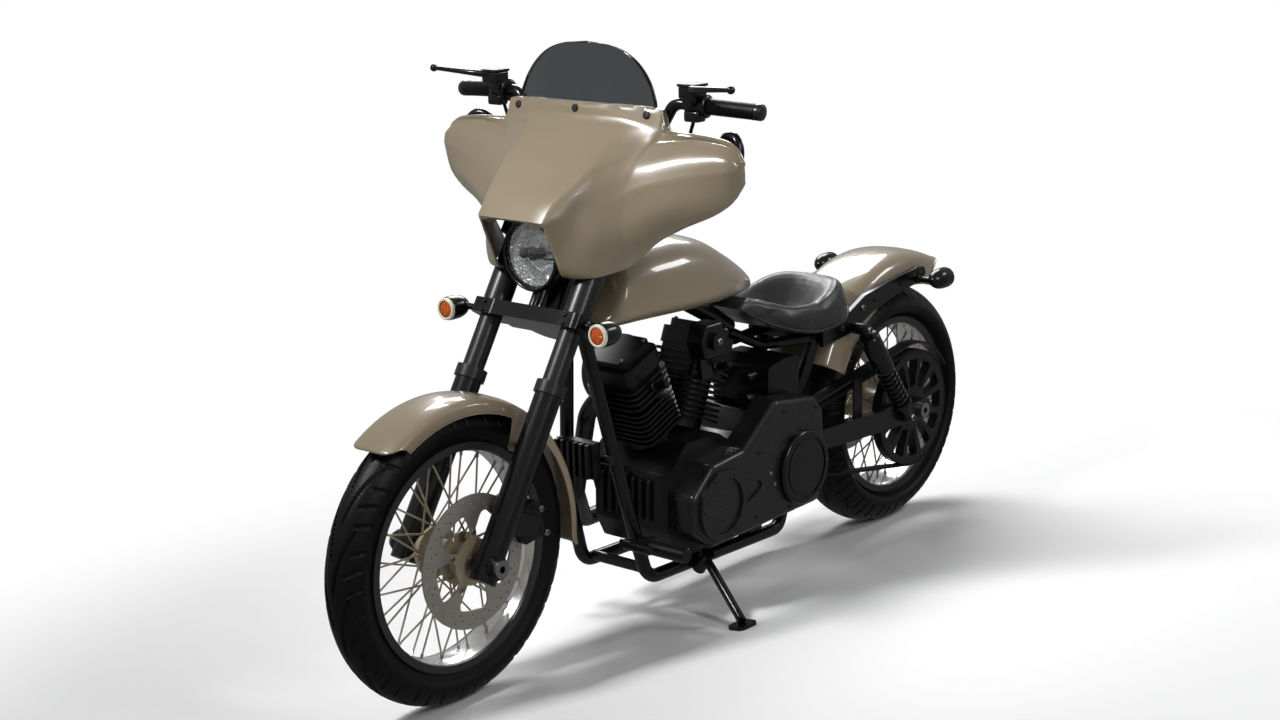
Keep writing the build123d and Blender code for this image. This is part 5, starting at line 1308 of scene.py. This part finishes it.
# %% Fuel cap
CAP_FOOT = Vector((960, -60, 915))
CAP = [
    # height, radius, 1 where milled
    (0, 31, 0), (14, 31, 0), (15, 33.4, 1), (24, 33.4, 1), (26.5, 31, 0), (28.4, 24, 0), (29, 12, 0),
    (29, 0.2, 0),
]
cap_shape = Shape()
rows = []
for k in range(120):
    a = 2 * math.pi * k / 120
    mill = 0.9 * (k % 4 < 2)
    out = Vector((math.cos(a), math.sin(a), 0))
    rows.append([CAP_FOOT + out * (r - mill * milled) + Vector((0, 0, h)) for h, r, milled in CAP])
cap_shape.grid(rows, wrap_rows=True)
make(cap_shape, "milled_cap", "chassis", ["black_gloss"], ["fuel_cap"], 40)

# %% Shield screws
strip_screws = Shape()
for y in (-190, 0, 190):
    top, shoulder = fairing_rails(y)[:2]
    spot = top + (shoulder - top) * 0.42
    out = Vector((top[2] - shoulder[2], 0, shoulder[0] - top[0])).normalized()
    strip_screws.lathe([(-1, 9), (0.8, 9), (2.6, 7.4), (3, 4.5), (2.2, 4), (2, 0.1)], spot, out, 28)
make(strip_screws, "strip_screws", "steering", ["dark_bolt"])

# %% Chassis bolts
def bolt_circle(x, y, z, radius, turns, way, size, height, kind):
    """Rows of the bolt table for heads on a circle about a point."""
    spots = [(x + radius * math.cos(a), z + radius * math.sin(a)) for a in np.radians(turns)]
    return [(px, y, pz, way, size, height, kind) for px, pz in spots]


COVER_SCREWS = [
    # x, z, finish: 0 dark, 1 bright
    (760, 392, 0), (770, 236, 0), (700, 300, 1), (716, 330, 1),
    (530, 455, 0), (660, 470, 0), (516, 240, 0), (640, 226, 0),
]
STRUT_BOLTS = [(320, 602, 0), (232, 640, 1), (-30, 684, 0)]
CHASSIS_BOLTS = [
    # x, y, z, outward y, radius, height, finish
    *bolt_circle(591, 206.5, 318, 83, range(18, 378, 72), 1, 4.2, 2.0, 0),
    *bolt_circle(902, 199.8, 299, 76, range(0, 360, 60), 1, 4.0, 2.2, 0),
    *[(x, 190, z, 1, 5, 3.4, kind) for x, z, kind in COVER_SCREWS],
    *[(x, s * 118, z, s, 7.5, 5, kind) for s in (-1, 1) for x, z, kind in STRUT_BOLTS],
    *bolt_circle(890, -146, 330, 64, range(30, 390, 60), -1, 4.6, 3, 1),
    *bolt_circle(890, -188, 575, 46, range(90, 450, 120), -1, 5, 3, 1),
    (848, 146, 674, 1, 8, 4, 1),
]
fasteners = Shape()
for x, y, z, way, radius, height, kind in CHASSIS_BOLTS:
    fasteners.bolt((x, y, z), (0, way, 0), radius, height, kind)
CRANK = Vector((890, 0, 310))
VEE = [math.radians(22.5), math.radians(-22.5)]
for a in VEE:
    up, across = Vector((math.sin(a), 0, math.cos(a))), Vector((math.cos(a), 0, -math.sin(a)))
    for dx in (-42, 42):
        for dy in (-45, 45):
            fasteners.bolt(CRANK + up * 396 + across * dx + Vector((0, dy, 0)), up, 5, 5, 1)
bolt_metals = ["dark_bolt", "bolt_steel"]
make(fasteners, "chassis_fasteners", "chassis", bolt_metals)

# %% Steering bolts
FORK_Y = 121
steering_bolts = Shape()
for side in (-1, 1):
    for t in (540, 560):
        steering_bolts.bolt(fork_at(92, side * FORK_Y, t), FORK_AHEAD, 6, 5, 0)
    for t in (732, 748):
        steering_bolts.bolt(fork_at(92, side * FORK_Y, t), FORK_AHEAD, 5, 4, 0)
    steering_bolts.bolt(fork_at(55, side * FORK_Y, 762), FORK_UP, 18, 4, 0)
for x, z in ((1432, 412), (1416, 354)):
    steering_bolts.bolt((x, 114, z), (0, 1, 0), 7, 5, 1)
make(steering_bolts, "steering_fasteners", "steering", bolt_metals)

# %% [markdown]
# ## Small castings on the engine
# The front of the crankcase carries a joint flange with cap screws and stiffening ribs, and each
# head has a plug with a rubber boot on the left. They are small, but they give the dark castings
# edges that catch the light.

# %% Case ribs and plug boots
ribs = Shape()
for y in (-72, -48, -24, 24, 48, 72):
    ribs.block((1012, y - 4, 268), (1030, y + 4, 366), 3)
ribs.block((1010, -9, 258), (1033, 9, 376), 4)
for z in (270, 300, 332, 364):
    ribs.bolt((1033, 0, z), (1, 0, 0), 5, 3.5, 1)
make(ribs, "case_ribs", "chassis", ["black_cast", "dark_bolt"])
BOOT = [(0, 0.1), (0, 12), (6, 12), (8, 9), (30, 8), (34, 9.4), (44, 9.4), (47, 7), (48, 0.1)]
boots = Shape()
for a in VEE:
    foot = CRANK + Vector((300 * math.sin(a), 74, 300 * math.cos(a)))
    boots.lathe(BOOT, foot, (0, 0.95, 0.3), 24)
make(boots, "plug_boots", "chassis", ["soft_rubber"])

# %% [markdown]
# ## Finishes of the solids that stay
# Every other solid keeps its modelled shape and only takes a finish. Castings, fins, tubes and
# moulded covers are all nearly black on this bike, so what tells them apart is their gloss and grain.

# %% Dress the solids
SLOT_FINISH = {
    "tan_paint": "tan_wheel", "black_paint": "black_gloss", "black_cast": "black_cast",
    "grey_cast": "grey_satin", "bright_alloy": "bolt_steel", "bare_steel": "bolt_steel",
    "black_rubber": "soft_rubber", "black_plastic": "moulded_black",
}
NODE_FINISH = {
    "front_rim": "front_rim_metal", "rear_rim": "rear_rim_metal", "cylinder_barrels": "fin_black",
    "cylinder_heads": "fin_black", "primary_cover": "grey_satin", "clutch_cover": "black_gloss",
    "fork_tubes": "grey_satin", "drive_belt": "belt_weave", "exhaust": "grey_satin",
    "battery_box": "moulded_black", "inner_fairing": "moulded_black", "seat": "moulded_black",
}
for name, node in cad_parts.items():
    for socket in node.material_slots:
        base = socket.material.name.split(".")[0] if socket.material else "black_paint"
        socket.material = finish[NODE_FINISH.get(name) or SLOT_FINISH.get(base, "moulded_black")]
    print(name, [socket.material.name for socket in node.material_slots])
